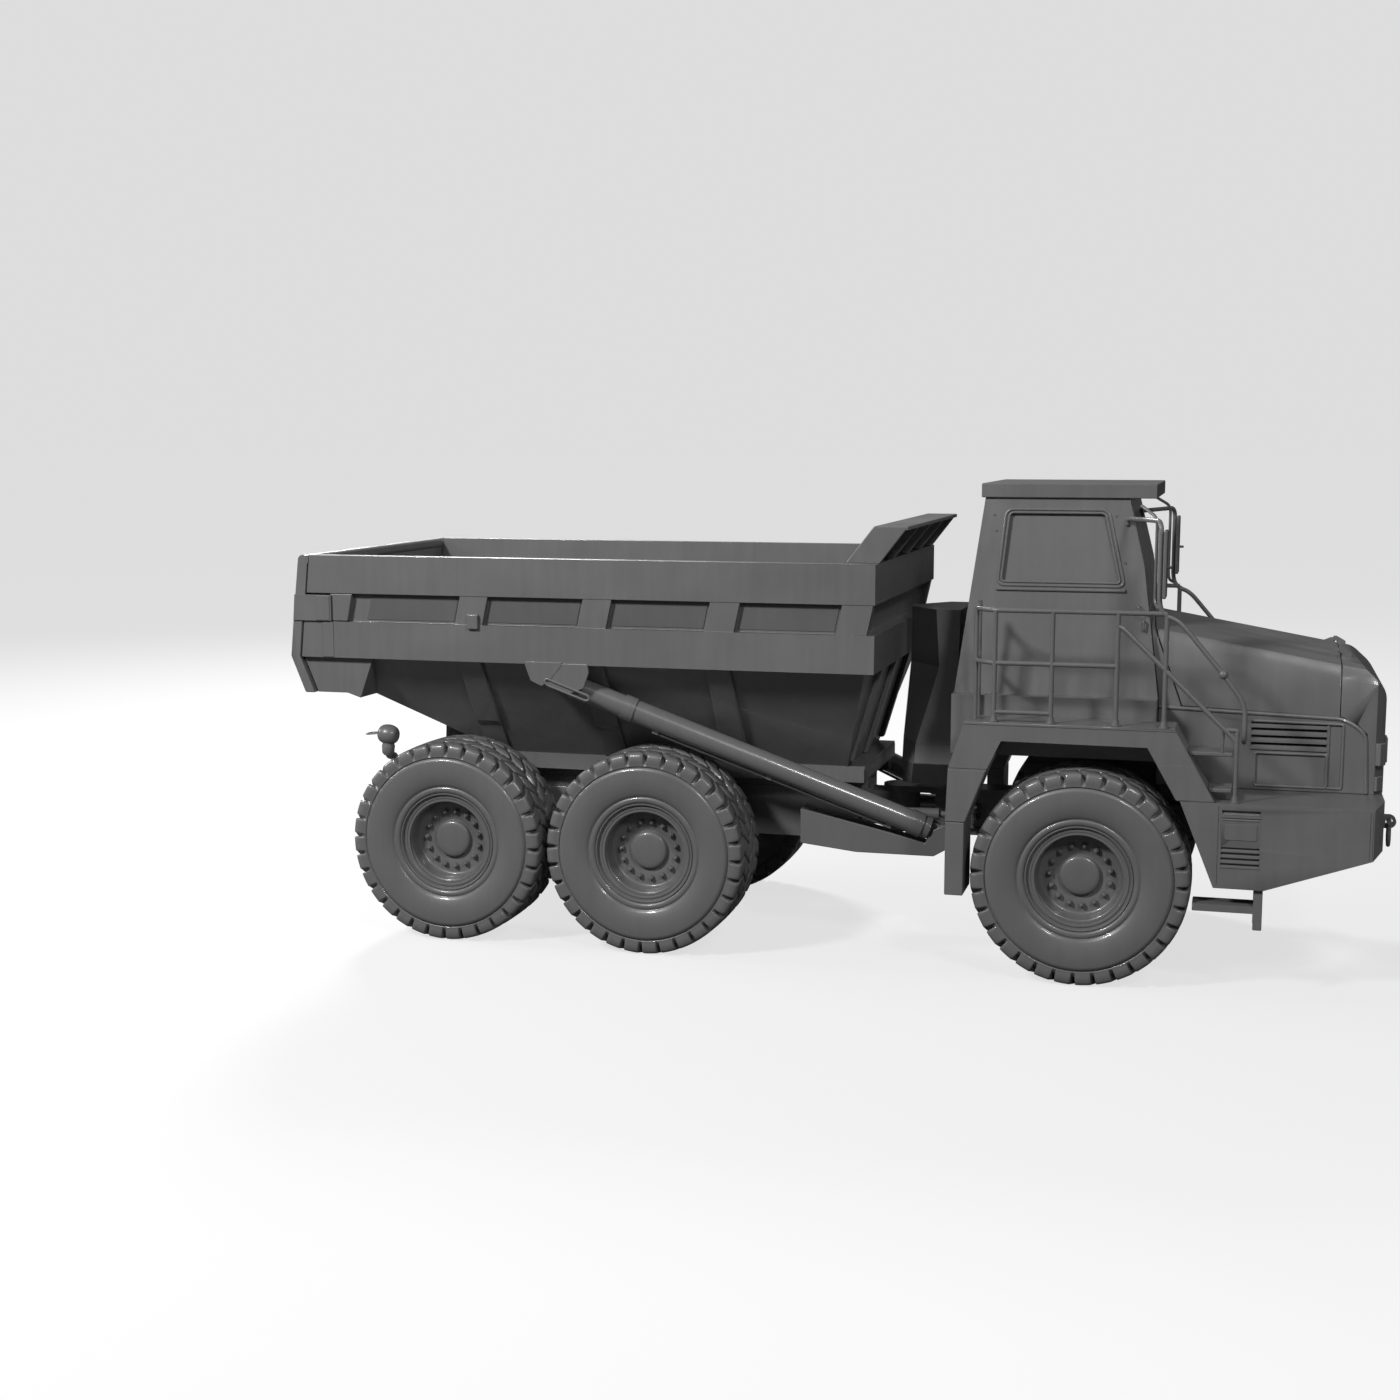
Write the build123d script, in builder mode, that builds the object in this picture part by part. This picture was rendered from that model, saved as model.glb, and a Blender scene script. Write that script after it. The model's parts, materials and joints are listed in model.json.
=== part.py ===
from build123d import *
import math
import os

# Articulated dump truck, millimetres. +X forward, +Y to the left, +Z up, ground at Z = 0.

# Wheels and stance
TYRE_R = 810.0
TYRE_W = 600.0
TRACK = 2300.0
FRONT_X = 2054.0
WHEELBASE = 3370.0
BOGIE = 1670.0
MID_X = FRONT_X - WHEELBASE
REAR_X = MID_X - BOGIE
WHEEL_Y = TRACK / 2
AXLE_Z = TYRE_R

# Clearances
FACE_GAP = 0.3
FIT_GAP = 0.05
OPEN_GAP = 6.0

# Tyre and rim
BEAD_R = 330.0
FLANGE_R = 400.0
FLANGE_T = 26.0
RIM_HALF = 235.0
RIM_WALL = 25.0
CROWN_R = 765.0
LUG_COUNT = 32
LUG_W = 88.0
LUG_INNER_Y = 35.0
LUG_SLANT = 18.0
DISC_Y = 60.0
DISC_T = 30.0
HUB_R = 190.0
CAP_R = 148.0
HUB_OUT = 140.0
SPINDLE_R = 90.0
SPINDLE_END = 40.0
HUB_IN = -110.0

# Axle housings
HOUSING_R = 115.0
DIFF_R = 225.0
DIFF_W = 330.0

# Rear frame
RAIL_IN = 400.0
RAIL_OUT = 540.0
RAIL_TOP = 1250.0
RAIL_LOW = 1060.0
RAIL_DROP = 840.0
TAIL_FRAME_X = REAR_X - 840.0
NOSE_X = FRONT_X - 1870.0
NOSE_LEN = 450.0
ROLL_Z = 1030.0
ROLL_R = 150.0
NOSE_R = 195.0

# Steering hitch
HITCH_X = FRONT_X - 1560.0
HITCH_PIN_R = 60.0
HITCH_BOSS_R = 150.0
FORK_TOP = 1220.0
FORK_LOW = 840.0
FORK_T = 50.0
NECK_HALF = 140.0

# Steering cylinders, from the hitch pin
STEER_A = (-220.0, 340.0)
STEER_B = (600.0, 280.0)
STEER_R = 48.0
STEER_ROD_R = 26.0
STEER_EYE_R = 50.0
STEER_EYE_T = 54.0
STEER_PIN_R = 24.0
STEER_BARREL = 560.0
LUG_T = 36.0

# Hoist cylinders
HOIST_LOW = (FRONT_X - 1090.0, 730.0, 950.0)
HOIST_TOP = (FRONT_X - 4190.0, 1362.0, 2195.0)
HOIST_R = 90.0
HOIST_ROD_R = 50.0
HOIST_EYE_R = 100.0
HOIST_EYE_T = 90.0
HOIST_PIN_R = 32.0
HOIST_BALL_R = 65.0
HOIST_SWING = 12.0
HOIST_SHANK_T = 74.0
HOIST_BARREL = 2700.0
HOIST_EAR = 81.0
PIPE_R = 12.0
PIPE_ENDS = (420.0, 2450.0)
ARM_T = 30.0

# Bed
TIP_X = REAR_X - 300.0
TIP_Z = 1380.0
TIP_PIN_R = 45.0
EAR_T = 26.0
BRACKET_T = 100.0
FLOOR_Z = 1450.0
BREAK_Z = 2287.0
BED_TOP = 3115.0
FLOOR_HALF = 700.0
BREAK_HALF = 1330.0
SKIN_HALF = 1385.0
BED_HALF = 1435.0
BED_WALL = 45.0
BED_FRONT = FRONT_X - 1640.0
FRONT_FOOT = BED_FRONT - 248.0
BED_TAIL = TIP_X - 840.0
TAIL_BEND = 90.0
TAIL_FOOT = 30.0
TAIL_Z = 1995.0
TAIL_IN = TIP_X - 552.0
LOW_RAIL = (BREAK_Z, 2580.0)
TOP_RAIL = (2810.0, BED_TOP)
RAIL_PROUD = 95.0
POST_W = 235.0
POST_PITCH = 1028.0
POST_LEAN = 50.0
RIB_OUT = 38.0
RIB_FOOT = 60.0
RIB_LOW = (FLOOR_Z + 11.0, 1690.0, 1690.0)
BEAM_FOOT = 1330.0
GUARD_TOP = 3395.0
GUARD_LEAN = 214.0
GUARD_DEPTH = 260.0
GUARD_HALF = 1290.0
PLATE = 30.0

# Tailgate
GATE_T = 80.0
GATE_TUBE_R = 46.0
GATE_PIVOT = (BED_TAIL - OPEN_GAP - GATE_TUBE_R, BED_TOP - GATE_TUBE_R)

# Fender and deck
DECK_Z = 1965.0
DECK_OUT = 1450.0
DECK_IN = 1050.0
FLAP_LOW = 640.0
LEG_LOW = 1200.0
STEP_T = 30.0

# Railing
RAIL_R = 19.0
RAILING_Y = DECK_OUT - 50.0
RAILING_TOP = 2795.0
RAILING_MID = 2405.0

# Cab
CAB_REAR = FRONT_X - 1017.0
CAB_FRONT = FRONT_X + 512.0
CAB_FLOOR = 1660.0
CAB_SILL = 2115.0
CAB_TOP = 3600.0
CAB_BEND = CAB_TOP - 500.0
CAB_LOW_HALF = 900.0
CAB_TOP_HALF = 720.0
CAB_WALL = 60.0
GLASS_T = 10.0
GLASS_IN = 22.0
ROOF_T = 108.0
ROOF_HALF = 745.0
DOOR_REAR = FRONT_X - 480.0
DOOR_FRONT = FRONT_X + 180.0
DOOR_LOW = 2182.0
DOOR_TOP = CAB_TOP - 80.0
DOOR_HINGE_X = DOOR_REAR - OPEN_GAP / 2
DOOR_HINGE_Z = (2400.0, DOOR_TOP - 270.0)
DOOR_KNUCKLE = 60.0
KNUCKLE_R = 12.0
HINGE_PIN_R = 8.0

# Hood and nose
HOOD_REAR = FRONT_X + 580.0
HOOD_FRONT = FRONT_X + 1820.0
HOOD_HALF = 750.0
HOOD_SIDE = 800.0
HOOD_LOW = 2100.0
HOOD_TOP_Z = 2677.0
HOOD_TOP_X = FRONT_X + 648.0
HOOD_SLOPE = 10.05
HOOD_CROWN = 75.0
HOOD_T = 30.0
HOOD_PIVOT_Z = 2475.0
HOOD_HINGE_Y = (-450.0, 450.0)
NOSE_FRONT = FRONT_X + 2150.0
NOSE_CUT = (70.0, 110.0)
PANEL_VENT = (FRONT_X + 1196.0, 1738.0, 540.0, 220.0)
BUMPER_TOP = 1440.0
BUMPER_HALF = DECK_OUT
BUMPER_FLAT = BUMPER_HALF - 410.0
BUMPER_FRONT = FRONT_X + 2145.0
BUMPER_SIDE = FRONT_X + 2056.0
HOOK_TIP = FRONT_X + 2251.0
HOOK_Y = 750.0
HOOK_R = 50.0

VENT_X = FRONT_X + 1010.0
VENT_W = 270.0
BUMPER_VENTS = ((1332.0, 1392.0, 60.0), (965.0, 1121.0, 39.0))

SIDES = ((1, "l"), (-1, "r"))
os.makedirs("parts", exist_ok=True)


def side_face(x0, y, *points):
    """A face in the XZ plane at y. The points' X counts from x0."""
    with BuildSketch(Plane.XZ.offset(-y), mode=Mode.PRIVATE) as face:
        with BuildLine():
            Polyline(*[(x0 + x, z) for x, z in points], close=True)
        make_face()
    return face.sketch


def cross_face(x, *points):
    """A face in the YZ plane at x."""
    with BuildSketch(Plane.YZ.offset(x), mode=Mode.PRIVATE) as face:
        with BuildLine():
            Polyline(*points, close=True)
        make_face()
    return face.sketch


def both_sides(points):
    """The points of a half outline, from the centre out, closed by their mirror image."""
    return [*points, *[(-y, z) for y, z in reversed(points)]]


def save(builder, name):
    """Label a finished piece and write it to its file."""
    builder.part.label = name
    export_step(builder.part, f"parts/{name}.step")


# Wheels: each tyre and rim is made at the origin with its outer side to +Y
with BuildPart() as tyre_shape:
    with BuildSketch(Plane.YZ):
        with BuildLine():
            edge = RIM_HALF - FACE_GAP
            lip = FLANGE_R + FACE_GAP
            side = TYRE_W / 2
            Polyline((-edge, lip), (-edge, BEAD_R + FACE_GAP), (edge, BEAD_R + FACE_GAP), (edge, lip),
                     (edge + FLANGE_T, lip))
            ThreePointArc((edge + FLANGE_T, lip), (side - 4, 540), (side - 12, 690))
            Polyline((side - 12, 690), (side - 38, CROWN_R - 22), (side - 90, CROWN_R),
                     (-side + 90, CROWN_R), (-side + 38, CROWN_R - 22), (-side + 12, 690))
            ThreePointArc((-side + 12, 690), (-side + 4, 540), (-edge - FLANGE_T, lip))
            Line((-edge - FLANGE_T, lip), (-edge, lip))
        make_face()
    revolve(axis=Axis.Y)

# One lug, slanted across its shoulder and cut at the tyre's radius
with BuildPart() as lug:
    with BuildSketch(Plane.XY.offset(CROWN_R - 45)):
        with BuildLine():
            skew = (TYRE_W / 2 - LUG_INNER_Y) * math.tan(math.radians(LUG_SLANT))
            out = TYRE_W / 2 - 4
            Polyline((-LUG_W / 2, out), (LUG_W / 2, out), (LUG_W / 2 + skew, LUG_INNER_Y),
                     (-LUG_W / 2 + skew, LUG_INNER_Y), close=True)
        make_face()
    extrude(amount=TYRE_R - CROWN_R + 45)
    with BuildSketch(Plane.XZ):
        Circle(TYRE_R)
    extrude(amount=TYRE_W, both=True, mode=Mode.INTERSECT)
pitch = 360 / LUG_COUNT
other_lug = mirror(lug.part, about=Plane.XZ)
lugs = [lug.part.rotate(Axis.Y, pitch * n) for n in range(LUG_COUNT)]
lugs += [other_lug.rotate(Axis.Y, pitch * (n + 0.5)) for n in range(LUG_COUNT)]
with BuildPart() as tyre:
    add(tyre_shape.part)
    add(lugs)

with BuildPart() as rim:
    with BuildSketch(Plane.YZ):
        with BuildLine():
            well = BEAD_R - RIM_WALL
            Polyline((-RIM_HALF, BEAD_R), (-RIM_HALF, FLANGE_R), (-RIM_HALF - FLANGE_T, FLANGE_R),
                     (-RIM_HALF - FLANGE_T, FLANGE_R - 22), (-RIM_HALF, well), (DISC_Y - DISC_T, well),
                     (DISC_Y - DISC_T, SPINDLE_R + 45), (HUB_IN, SPINDLE_R + 45),
                     (HUB_IN, SPINDLE_R + FIT_GAP), (SPINDLE_END + 3, SPINDLE_R + FIT_GAP),
                     (SPINDLE_END + 3, 0), (HUB_OUT + 40, 0), (HUB_OUT + 30, CAP_R - 40),
                     (HUB_OUT, CAP_R), (HUB_OUT - 45, CAP_R), (HUB_OUT - 45, HUB_R + 22),
                     (DISC_Y, HUB_R + 60), (DISC_Y, well), (RIM_HALF, well),
                     (RIM_HALF + FLANGE_T, FLANGE_R - 22), (RIM_HALF + FLANGE_T, FLANGE_R),
                     (RIM_HALF, FLANGE_R), (RIM_HALF, BEAD_R), close=True)
        make_face()
    revolve(axis=Axis.Y)

WHEELS = (("front", FRONT_X), ("mid", MID_X), ("rear", REAR_X))
for axle, x in WHEELS:
    for hand, side_name in SIDES:
        turn = 0 if hand > 0 else 180
        for shape, kind in ((tyre, "tyre"), (rim, "rim")):
            with BuildPart() as wheel_piece:
                add(shape.part.rotate(Axis.Z, turn).moved(Location((x, hand * WHEEL_Y, AXLE_Z))))
            save(wheel_piece, f"{axle}_{kind}_{side_name}")


# Axles: a housing with its drive bulge and a spindle into each hub
def axle_shape(x, seat_z, seat_y, diff_side):
    """An axle across the truck at x, with a seat up to seat_z on each side."""
    with BuildPart() as axle:
        reach = WHEEL_Y + HUB_IN - 40
        with BuildSketch(Plane.XZ):
            with Locations((x, AXLE_Z)):
                Circle(HOUSING_R)
        extrude(amount=reach, both=True)
        with BuildSketch(Plane.XZ):
            with Locations((x, AXLE_Z)):
                Circle(SPINDLE_R)
        extrude(amount=WHEEL_Y + SPINDLE_END, both=True)
        with BuildSketch(Plane.XZ):
            with Locations((x, AXLE_Z)):
                Circle(DIFF_R)
        extrude(amount=DIFF_W / 2, both=True)
        with BuildSketch(Plane.YZ.offset(x)):
            with Locations((0, AXLE_Z)):
                Circle(110)
        extrude(amount=diff_side * 400)
        seat = HOUSING_R * 0.7
        for hand in (1, -1):
            extrude(side_face(x, hand * seat_y, (-seat, AXLE_Z), (seat, AXLE_Z), (seat, seat_z),
                              (-seat, seat_z)), amount=60, both=True)
    return axle


BEAM_Y = 630.0
BEAM_T = 90.0
BEAM_LOW = 985.0
save(axle_shape(FRONT_X, 1010 - FACE_GAP, 330, -1), "front_axle")
save(axle_shape(MID_X, BEAM_LOW - FACE_GAP, BEAM_Y, 1), "mid_axle")
save(axle_shape(REAR_X, BEAM_LOW - FACE_GAP, BEAM_Y, 1), "rear_axle")

# Bogie beams: one along each side, hung from the frame at its middle
BEAM_MID = (MID_X + REAR_X) / 2
TRUNNION_R = 70.0
with BuildPart() as bogie_beams:
    half = BOGIE / 2
    extrude(side_face(BEAM_MID, BEAM_Y, (-half - 110, BEAM_LOW), (half + 110, BEAM_LOW),
                      (half + 110, BEAM_LOW + 90), (160, BEAM_LOW + 190), (-160, BEAM_LOW + 190),
                      (-half - 110, BEAM_LOW + 90)), amount=BEAM_T / 2, both=True)
    with BuildSketch(Plane.XZ.offset(-BEAM_Y)):
        with Locations((BEAM_MID, BEAM_LOW + 95)):
            Circle(TRUNNION_R + FACE_GAP)
    extrude(amount=BEAM_T, both=True, mode=Mode.SUBTRACT)
    mirror(about=Plane.XZ)
save(bogie_beams, "bogie_beams")

# Rear frame: two rails, cross members and the nose that holds the roll bearing
with BuildPart() as rear_frame:
    rail = ((TAIL_FRAME_X, RAIL_LOW), (MID_X + 420, RAIL_LOW), (MID_X + 640, RAIL_DROP),
            (NOSE_X, RAIL_DROP), (NOSE_X, RAIL_TOP), (TAIL_FRAME_X, RAIL_TOP))
    extrude(side_face(0, (RAIL_IN + RAIL_OUT) / 2, *rail), amount=(RAIL_OUT - RAIL_IN) / 2, both=True)
    # Trunnion for the bogie beam
    with BuildSketch(Plane.XZ.offset(-RAIL_IN)):
        with Locations((BEAM_MID, BEAM_LOW + 95)):
            Circle(TRUNNION_R)
    extrude(amount=-(BEAM_Y + BEAM_T / 2 + 25 - RAIL_IN))
    # Ears for the tip pivot, outside the bed's brackets
    extrude(side_face(TIP_X, RAIL_OUT - EAR_T / 2, (-150, RAIL_TOP - 40), (170, RAIL_TOP - 40),
                      (70, TIP_Z + 70), (-70, TIP_Z + 70)), amount=EAR_T / 2, both=True)
    with BuildSketch(Plane.XZ.offset(-RAIL_OUT)):
        with Locations((TIP_X, TIP_Z)):
            Circle(TIP_PIN_R)
    extrude(amount=EAR_T + 5 + BRACKET_T + 30)
    mirror(about=Plane.XZ)
    # Cross members
    for cross_x in (TAIL_FRAME_X + 60, BEAM_MID, MID_X + 520):
        extrude(cross_face(cross_x, (-RAIL_IN, RAIL_LOW + 20), (RAIL_IN, RAIL_LOW + 20),
                           (RAIL_IN, RAIL_TOP - 20), (-RAIL_IN, RAIL_TOP - 20)), amount=50, both=True)
    # Nose plates and the roll bearing's tube
    for plate_x in (NOSE_X - NOSE_LEN, NOSE_X - 40):
        extrude(cross_face(plate_x, (-RAIL_IN, RAIL_DROP), (RAIL_IN, RAIL_DROP), (RAIL_IN, RAIL_TOP - 20),
                           (-RAIL_IN, RAIL_TOP - 20)), amount=40)
    with BuildSketch(Plane.YZ.offset(NOSE_X - NOSE_LEN)):
        with Locations((0, ROLL_Z)):
            Circle(NOSE_R)
    extrude(amount=NOSE_LEN)
    with BuildSketch(Plane.YZ.offset(NOSE_X - NOSE_LEN - 10)):
        with Locations((0, ROLL_Z)):
            Circle(ROLL_R + FIT_GAP)
    extrude(amount=NOSE_LEN + 20, mode=Mode.SUBTRACT)
save(rear_frame, "rear_frame")

# Hoist brackets: on each side a block on the rail and two plates with the lower pin and its ball between them
with BuildPart() as hoist_brackets:
    low_x, low_y, low_z = HOIST_LOW
    arm_gap = HOIST_EYE_T / 2 + HOIST_SWING
    arm_out = low_y + arm_gap + ARM_T
    for plate_y in (low_y - arm_gap - ARM_T / 2, arm_out - ARM_T / 2):
        extrude(side_face(low_x, plate_y, (-1150, RAIL_DROP), (-700, low_z - 160), (-80, low_z - 160),
                          (70, low_z - 70), (95, low_z), (60, low_z + 72), (-10, low_z + 92),
                          (-85, low_z + 50), (-150, low_z - 58), (-420, low_z + 10), (-1150, low_z + 170)),
                amount=ARM_T / 2, both=True)
    block_in = RAIL_OUT + FACE_GAP
    extrude(side_face(low_x, (block_in + arm_out) / 2, (-1150, RAIL_DROP), (-900, RAIL_DROP), (-900, 1000),
                      (-1150, 1120)), amount=(arm_out - block_in) / 2, both=True)
    with BuildSketch(Plane.XZ.offset(-(low_y - arm_gap - ARM_T))):
        with Locations((low_x, low_z)):
            Circle(HOIST_PIN_R)
    extrude(amount=-(2 * arm_gap + 2 * ARM_T))
    with Locations((low_x, low_y, low_z)):
        Sphere(HOIST_BALL_R)
    mirror(about=Plane.XZ)
save(hoist_brackets, "hoist_brackets")

# Hitch casting: the roll trunnion, its flange, the pin boss and the steering cylinders' ears
with BuildPart() as hitch_casting:
    with BuildSketch(Plane.YZ.offset(NOSE_X - NOSE_LEN - 20)):
        with Locations((0, ROLL_Z)):
            Circle(ROLL_R)
    extrude(amount=NOSE_LEN + 30)
    with BuildSketch(Plane.YZ.offset(NOSE_X + FACE_GAP)):
        with Locations((0, ROLL_Z)):
            Circle(NOSE_R)
    extrude(amount=60)
    fork_in = FORK_T + FACE_GAP
    extrude(cross_face(NOSE_X + 50, (-130, FORK_LOW + fork_in), (130, FORK_LOW + fork_in),
                       (130, FORK_TOP - fork_in), (-130, FORK_TOP - fork_in)), amount=HITCH_X - NOSE_X - 50)
    with BuildSketch(Plane.XY.offset(FORK_LOW + fork_in)):
        with Locations((HITCH_X, 0)):
            Circle(HITCH_BOSS_R)
    extrude(amount=FORK_TOP - FORK_LOW - 2 * fork_in)
    ax, ay = STEER_A
    ear_low = ROLL_Z + STEER_EYE_T / 2 + FACE_GAP
    for ear_z in (ear_low, 2 * ROLL_Z - ear_low - LUG_T):
        with BuildSketch(Plane.XY.offset(ear_z)):
            with Locations((HITCH_X + ax, ay), (HITCH_X + ax, -ay)):
                Circle(STEER_EYE_R + 8)
            with Locations((HITCH_X + ax - 18, 0)):
                Rectangle(64, 2 * ay)
        extrude(amount=LUG_T)
    with BuildSketch(Plane.XY.offset(2 * ROLL_Z - ear_low - LUG_T)):
        with Locations((HITCH_X + ax, ay), (HITCH_X + ax, -ay)):
            Circle(STEER_PIN_R)
    extrude(amount=2 * (ear_low + LUG_T - ROLL_Z))
    with BuildSketch(Plane.XY.offset(FORK_LOW)):
        with Locations((HITCH_X, 0)):
            Circle(HITCH_PIN_R + FIT_GAP)
    extrude(amount=FORK_TOP - FORK_LOW, mode=Mode.SUBTRACT)
save(hitch_casting, "hitch_casting")

# Front frame: the fork round the hitch boss, its neck, and two rails to the bumper
FRAME_IN = 250.0
FRAME_OUT = 370.0
FRAME_LOW = 1010.0
FRAME_TOP = 1220.0
NECK_END = HITCH_X + 960.0
with BuildPart() as front_frame:
    for plate_z in (FORK_LOW, FORK_TOP - FORK_T):
        with BuildSketch(Plane.XY.offset(plate_z)):
            with Locations((HITCH_X, 0)):
                Circle(HITCH_BOSS_R)
            with Locations(((HITCH_X + NECK_END) / 2, 0)):
                Rectangle(NECK_END - HITCH_X, 2 * NECK_HALF)
        extrude(amount=FORK_T)
    with BuildSketch(Plane.XY.offset(FORK_LOW)):
        with Locations((HITCH_X, 0)):
            Circle(HITCH_PIN_R)
    extrude(amount=FORK_TOP - FORK_LOW)
    web = NECK_END - HITCH_X
    extrude(side_face(HITCH_X, 0, (290, FORK_LOW), (web, FORK_LOW), (web, FORK_TOP), (290, FORK_TOP)),
            amount=90, both=True)
    extrude(side_face(NECK_END, 0, (-60, FORK_LOW), (60, FORK_LOW), (60, FRAME_TOP), (-60, FRAME_TOP)),
            amount=FRAME_OUT, both=True)
    rail_len = BUMPER_SIDE - 180 - (NECK_END - 60)
    rail_mid, rail_half = (FRAME_IN + FRAME_OUT) / 2, (FRAME_OUT - FRAME_IN) / 2
    for hand in (1, -1):
        extrude(side_face(NECK_END - 60, hand * rail_mid, (0, FRAME_LOW), (rail_len, FRAME_LOW),
                          (rail_len, FRAME_TOP), (0, FRAME_TOP)), amount=rail_half, both=True)
    for cross_x in (FRONT_X + 480, BUMPER_SIDE - 240):
        extrude(cross_face(cross_x, (-FRAME_IN, FRAME_LOW + 20), (FRAME_IN, FRAME_LOW + 20),
                           (FRAME_IN, FRAME_TOP - 60), (-FRAME_IN, FRAME_TOP - 60)), amount=60)
    bx, by = STEER_B
    for ear_z in (ear_low, 2 * ROLL_Z - ear_low - LUG_T):
        with BuildSketch(Plane.XY.offset(ear_z)):
            with Locations((HITCH_X + bx, by), (HITCH_X + bx, -by)):
                Circle(STEER_EYE_R + 6)
            with Locations((HITCH_X + bx, 0)):
                Rectangle(2 * STEER_EYE_R, 2 * by)
        extrude(amount=LUG_T)
save(front_frame, "front_frame")

# Steering cylinders: the barrel turns on the hitch, the rod slides in it, its eye is left loose
for hand, side_name in SIDES:
    start = Vector(HITCH_X + STEER_A[0], hand * STEER_A[1], ROLL_Z)
    end = Vector(HITCH_X + STEER_B[0], hand * STEER_B[1], ROLL_Z)
    along = (end - start).normalized()
    length = (end - start).length
    across = Plane(origin=start, x_dir=(0, 0, 1), z_dir=along)
    with BuildPart() as barrel:
        with BuildSketch(across.offset(STEER_EYE_R + 16)):
            Circle(STEER_R)
            Circle(STEER_ROD_R + FIT_GAP, mode=Mode.SUBTRACT)
        extrude(amount=STEER_BARREL - STEER_EYE_R)
        with BuildSketch(across.offset(STEER_EYE_R + 16)):
            Circle(STEER_R)
        extrude(amount=40)
        with BuildSketch(across):
            Rectangle(STEER_EYE_T, STEER_EYE_R * 1.4)
        extrude(amount=STEER_EYE_R + 20)
        with BuildSketch(Plane.XY.offset(ROLL_Z - STEER_EYE_T / 2)):
            with Locations((start.X, start.Y)):
                Circle(STEER_EYE_R)
        extrude(amount=STEER_EYE_T)
        with BuildSketch(Plane.XY.offset(ROLL_Z - STEER_EYE_T)):
            with Locations((start.X, start.Y)):
                Circle(STEER_PIN_R + FIT_GAP)
        extrude(amount=2 * STEER_EYE_T, mode=Mode.SUBTRACT)
    save(barrel, f"steer_barrel_{side_name}")
    with BuildPart() as rod:
        with BuildSketch(across.offset(300)):
            Circle(STEER_ROD_R)
        extrude(amount=length - 300 - STEER_EYE_R + 8)
        with BuildSketch(Plane.XY.offset(ROLL_Z - STEER_EYE_T / 2)):
            with Locations((end.X, end.Y)):
                Circle(STEER_EYE_R)
        extrude(amount=STEER_EYE_T)
    save(rod, f"steer_rod_{side_name}")

# Hoist cylinders: the barrel turns on the frame's arm, the rod's eye is left loose in the bed's ears
for hand, side_name in SIDES:
    start = Vector(HOIST_LOW[0], hand * HOIST_LOW[1], HOIST_LOW[2])
    end = Vector(HOIST_TOP[0], hand * HOIST_TOP[1], HOIST_TOP[2])
    along = (end - start).normalized()
    length = (end - start).length
    line = Plane(origin=start, x_dir=(0, 1, 0), z_dir=along)
    with BuildPart() as barrel:
        with BuildSketch(line.offset(HOIST_EYE_R + 40)):
            Circle(HOIST_R)
            Circle(HOIST_ROD_R + FIT_GAP, mode=Mode.SUBTRACT)
        extrude(amount=HOIST_BARREL - HOIST_EYE_R)
        with BuildSketch(line.offset(HOIST_EYE_R + 40)):
            Circle(HOIST_R)
        extrude(amount=60)
        # Collars at both ends, and a pipe along the underside on three blocks
        for collar_z in (HOIST_EYE_R + 100, HOIST_BARREL - 60):
            with BuildSketch(line.offset(collar_z)):
                Circle(HOIST_R + 9)
                Circle(HOIST_R - 10, mode=Mode.SUBTRACT)
            extrude(amount=100)
        with BuildSketch(line.offset(PIPE_ENDS[0])):
            with Locations((0, HOIST_R + PIPE_R + 4)):
                Circle(PIPE_R)
        extrude(amount=PIPE_ENDS[1] - PIPE_ENDS[0])
        for block_z in (PIPE_ENDS[0], sum(PIPE_ENDS) / 2, PIPE_ENDS[1] - 50):
            with BuildSketch(line.offset(block_z)):
                with Locations((0, HOIST_R + PIPE_R / 2)):
                    Rectangle(40, 3 * PIPE_R)
            extrude(amount=50)
        extrude(side_face(0, start.Y, (start.X - 160, start.Z - 20), (start.X - 60, start.Z - 75),
                          (start.X, start.Z - 60), (start.X + 40, start.Z), (start.X, start.Z + 60),
                          (start.X - 130, start.Z + 130)), amount=HOIST_SHANK_T / 2, both=True)
        with BuildSketch(Plane.XZ.offset(-start.Y)):
            with Locations((start.X, start.Z)):
                Circle(HOIST_EYE_R - 10)
        extrude(amount=HOIST_EYE_T / 2, both=True)
        with Locations((start.X, start.Y, start.Z)):
            Sphere(HOIST_BALL_R + FIT_GAP, mode=Mode.SUBTRACT)
    save(barrel, f"hoist_barrel_{side_name}")
    with BuildPart() as rod:
        with BuildSketch(line.offset(HOIST_EYE_R + 140)):
            Circle(HOIST_ROD_R)
        extrude(amount=length - HOIST_EYE_R - 140 - 60)
        with BuildSketch(Plane.XZ.offset(-end.Y)):
            with Locations((end.X, end.Z)):
                Circle(75)
        extrude(amount=30, both=True)
    save(rod, f"hoist_rod_{side_name}")


# Bed: a hull of flat plates, cut out inside, with rails, posts, floor beams and the rock guard
def hull_side(inset, tail):
    """The hull's outline from the side, inset by a wall, back to the tail's X."""
    return side_face(0, 0, (BED_FRONT - inset, BED_TOP + inset), (BED_FRONT - inset, BREAK_Z),
                     (FRONT_FOOT - inset, FLOOR_Z + inset), (TIP_X + 530 - inset, FLOOR_Z + inset),
                     (TIP_X - 438, TAIL_Z - 38 + inset), (TAIL_IN, TAIL_Z + inset), (tail, TAIL_Z + inset),
                     (tail, BED_TOP + inset))


def hull_section(inset):
    """The hull's section, inset by a wall."""
    return both_sides([(FLOOR_HALF - inset * 0.8, FLOOR_Z + inset), (BREAK_HALF - inset, BREAK_Z),
                       (SKIN_HALF - inset, BREAK_Z + 60), (SKIN_HALF - inset, BED_TOP + inset)])


def tail_chute(inset, tail):
    """The tail's full-width floor, from the side, inset by a wall."""
    return side_face(0, 0, (tail, TAIL_Z + inset), (TAIL_IN, TAIL_Z + inset),
                     (TIP_X - 438, TAIL_Z - 38 + inset), (TIP_X - 300, BREAK_Z + 60), (tail, BREAK_Z + 60))


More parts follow.
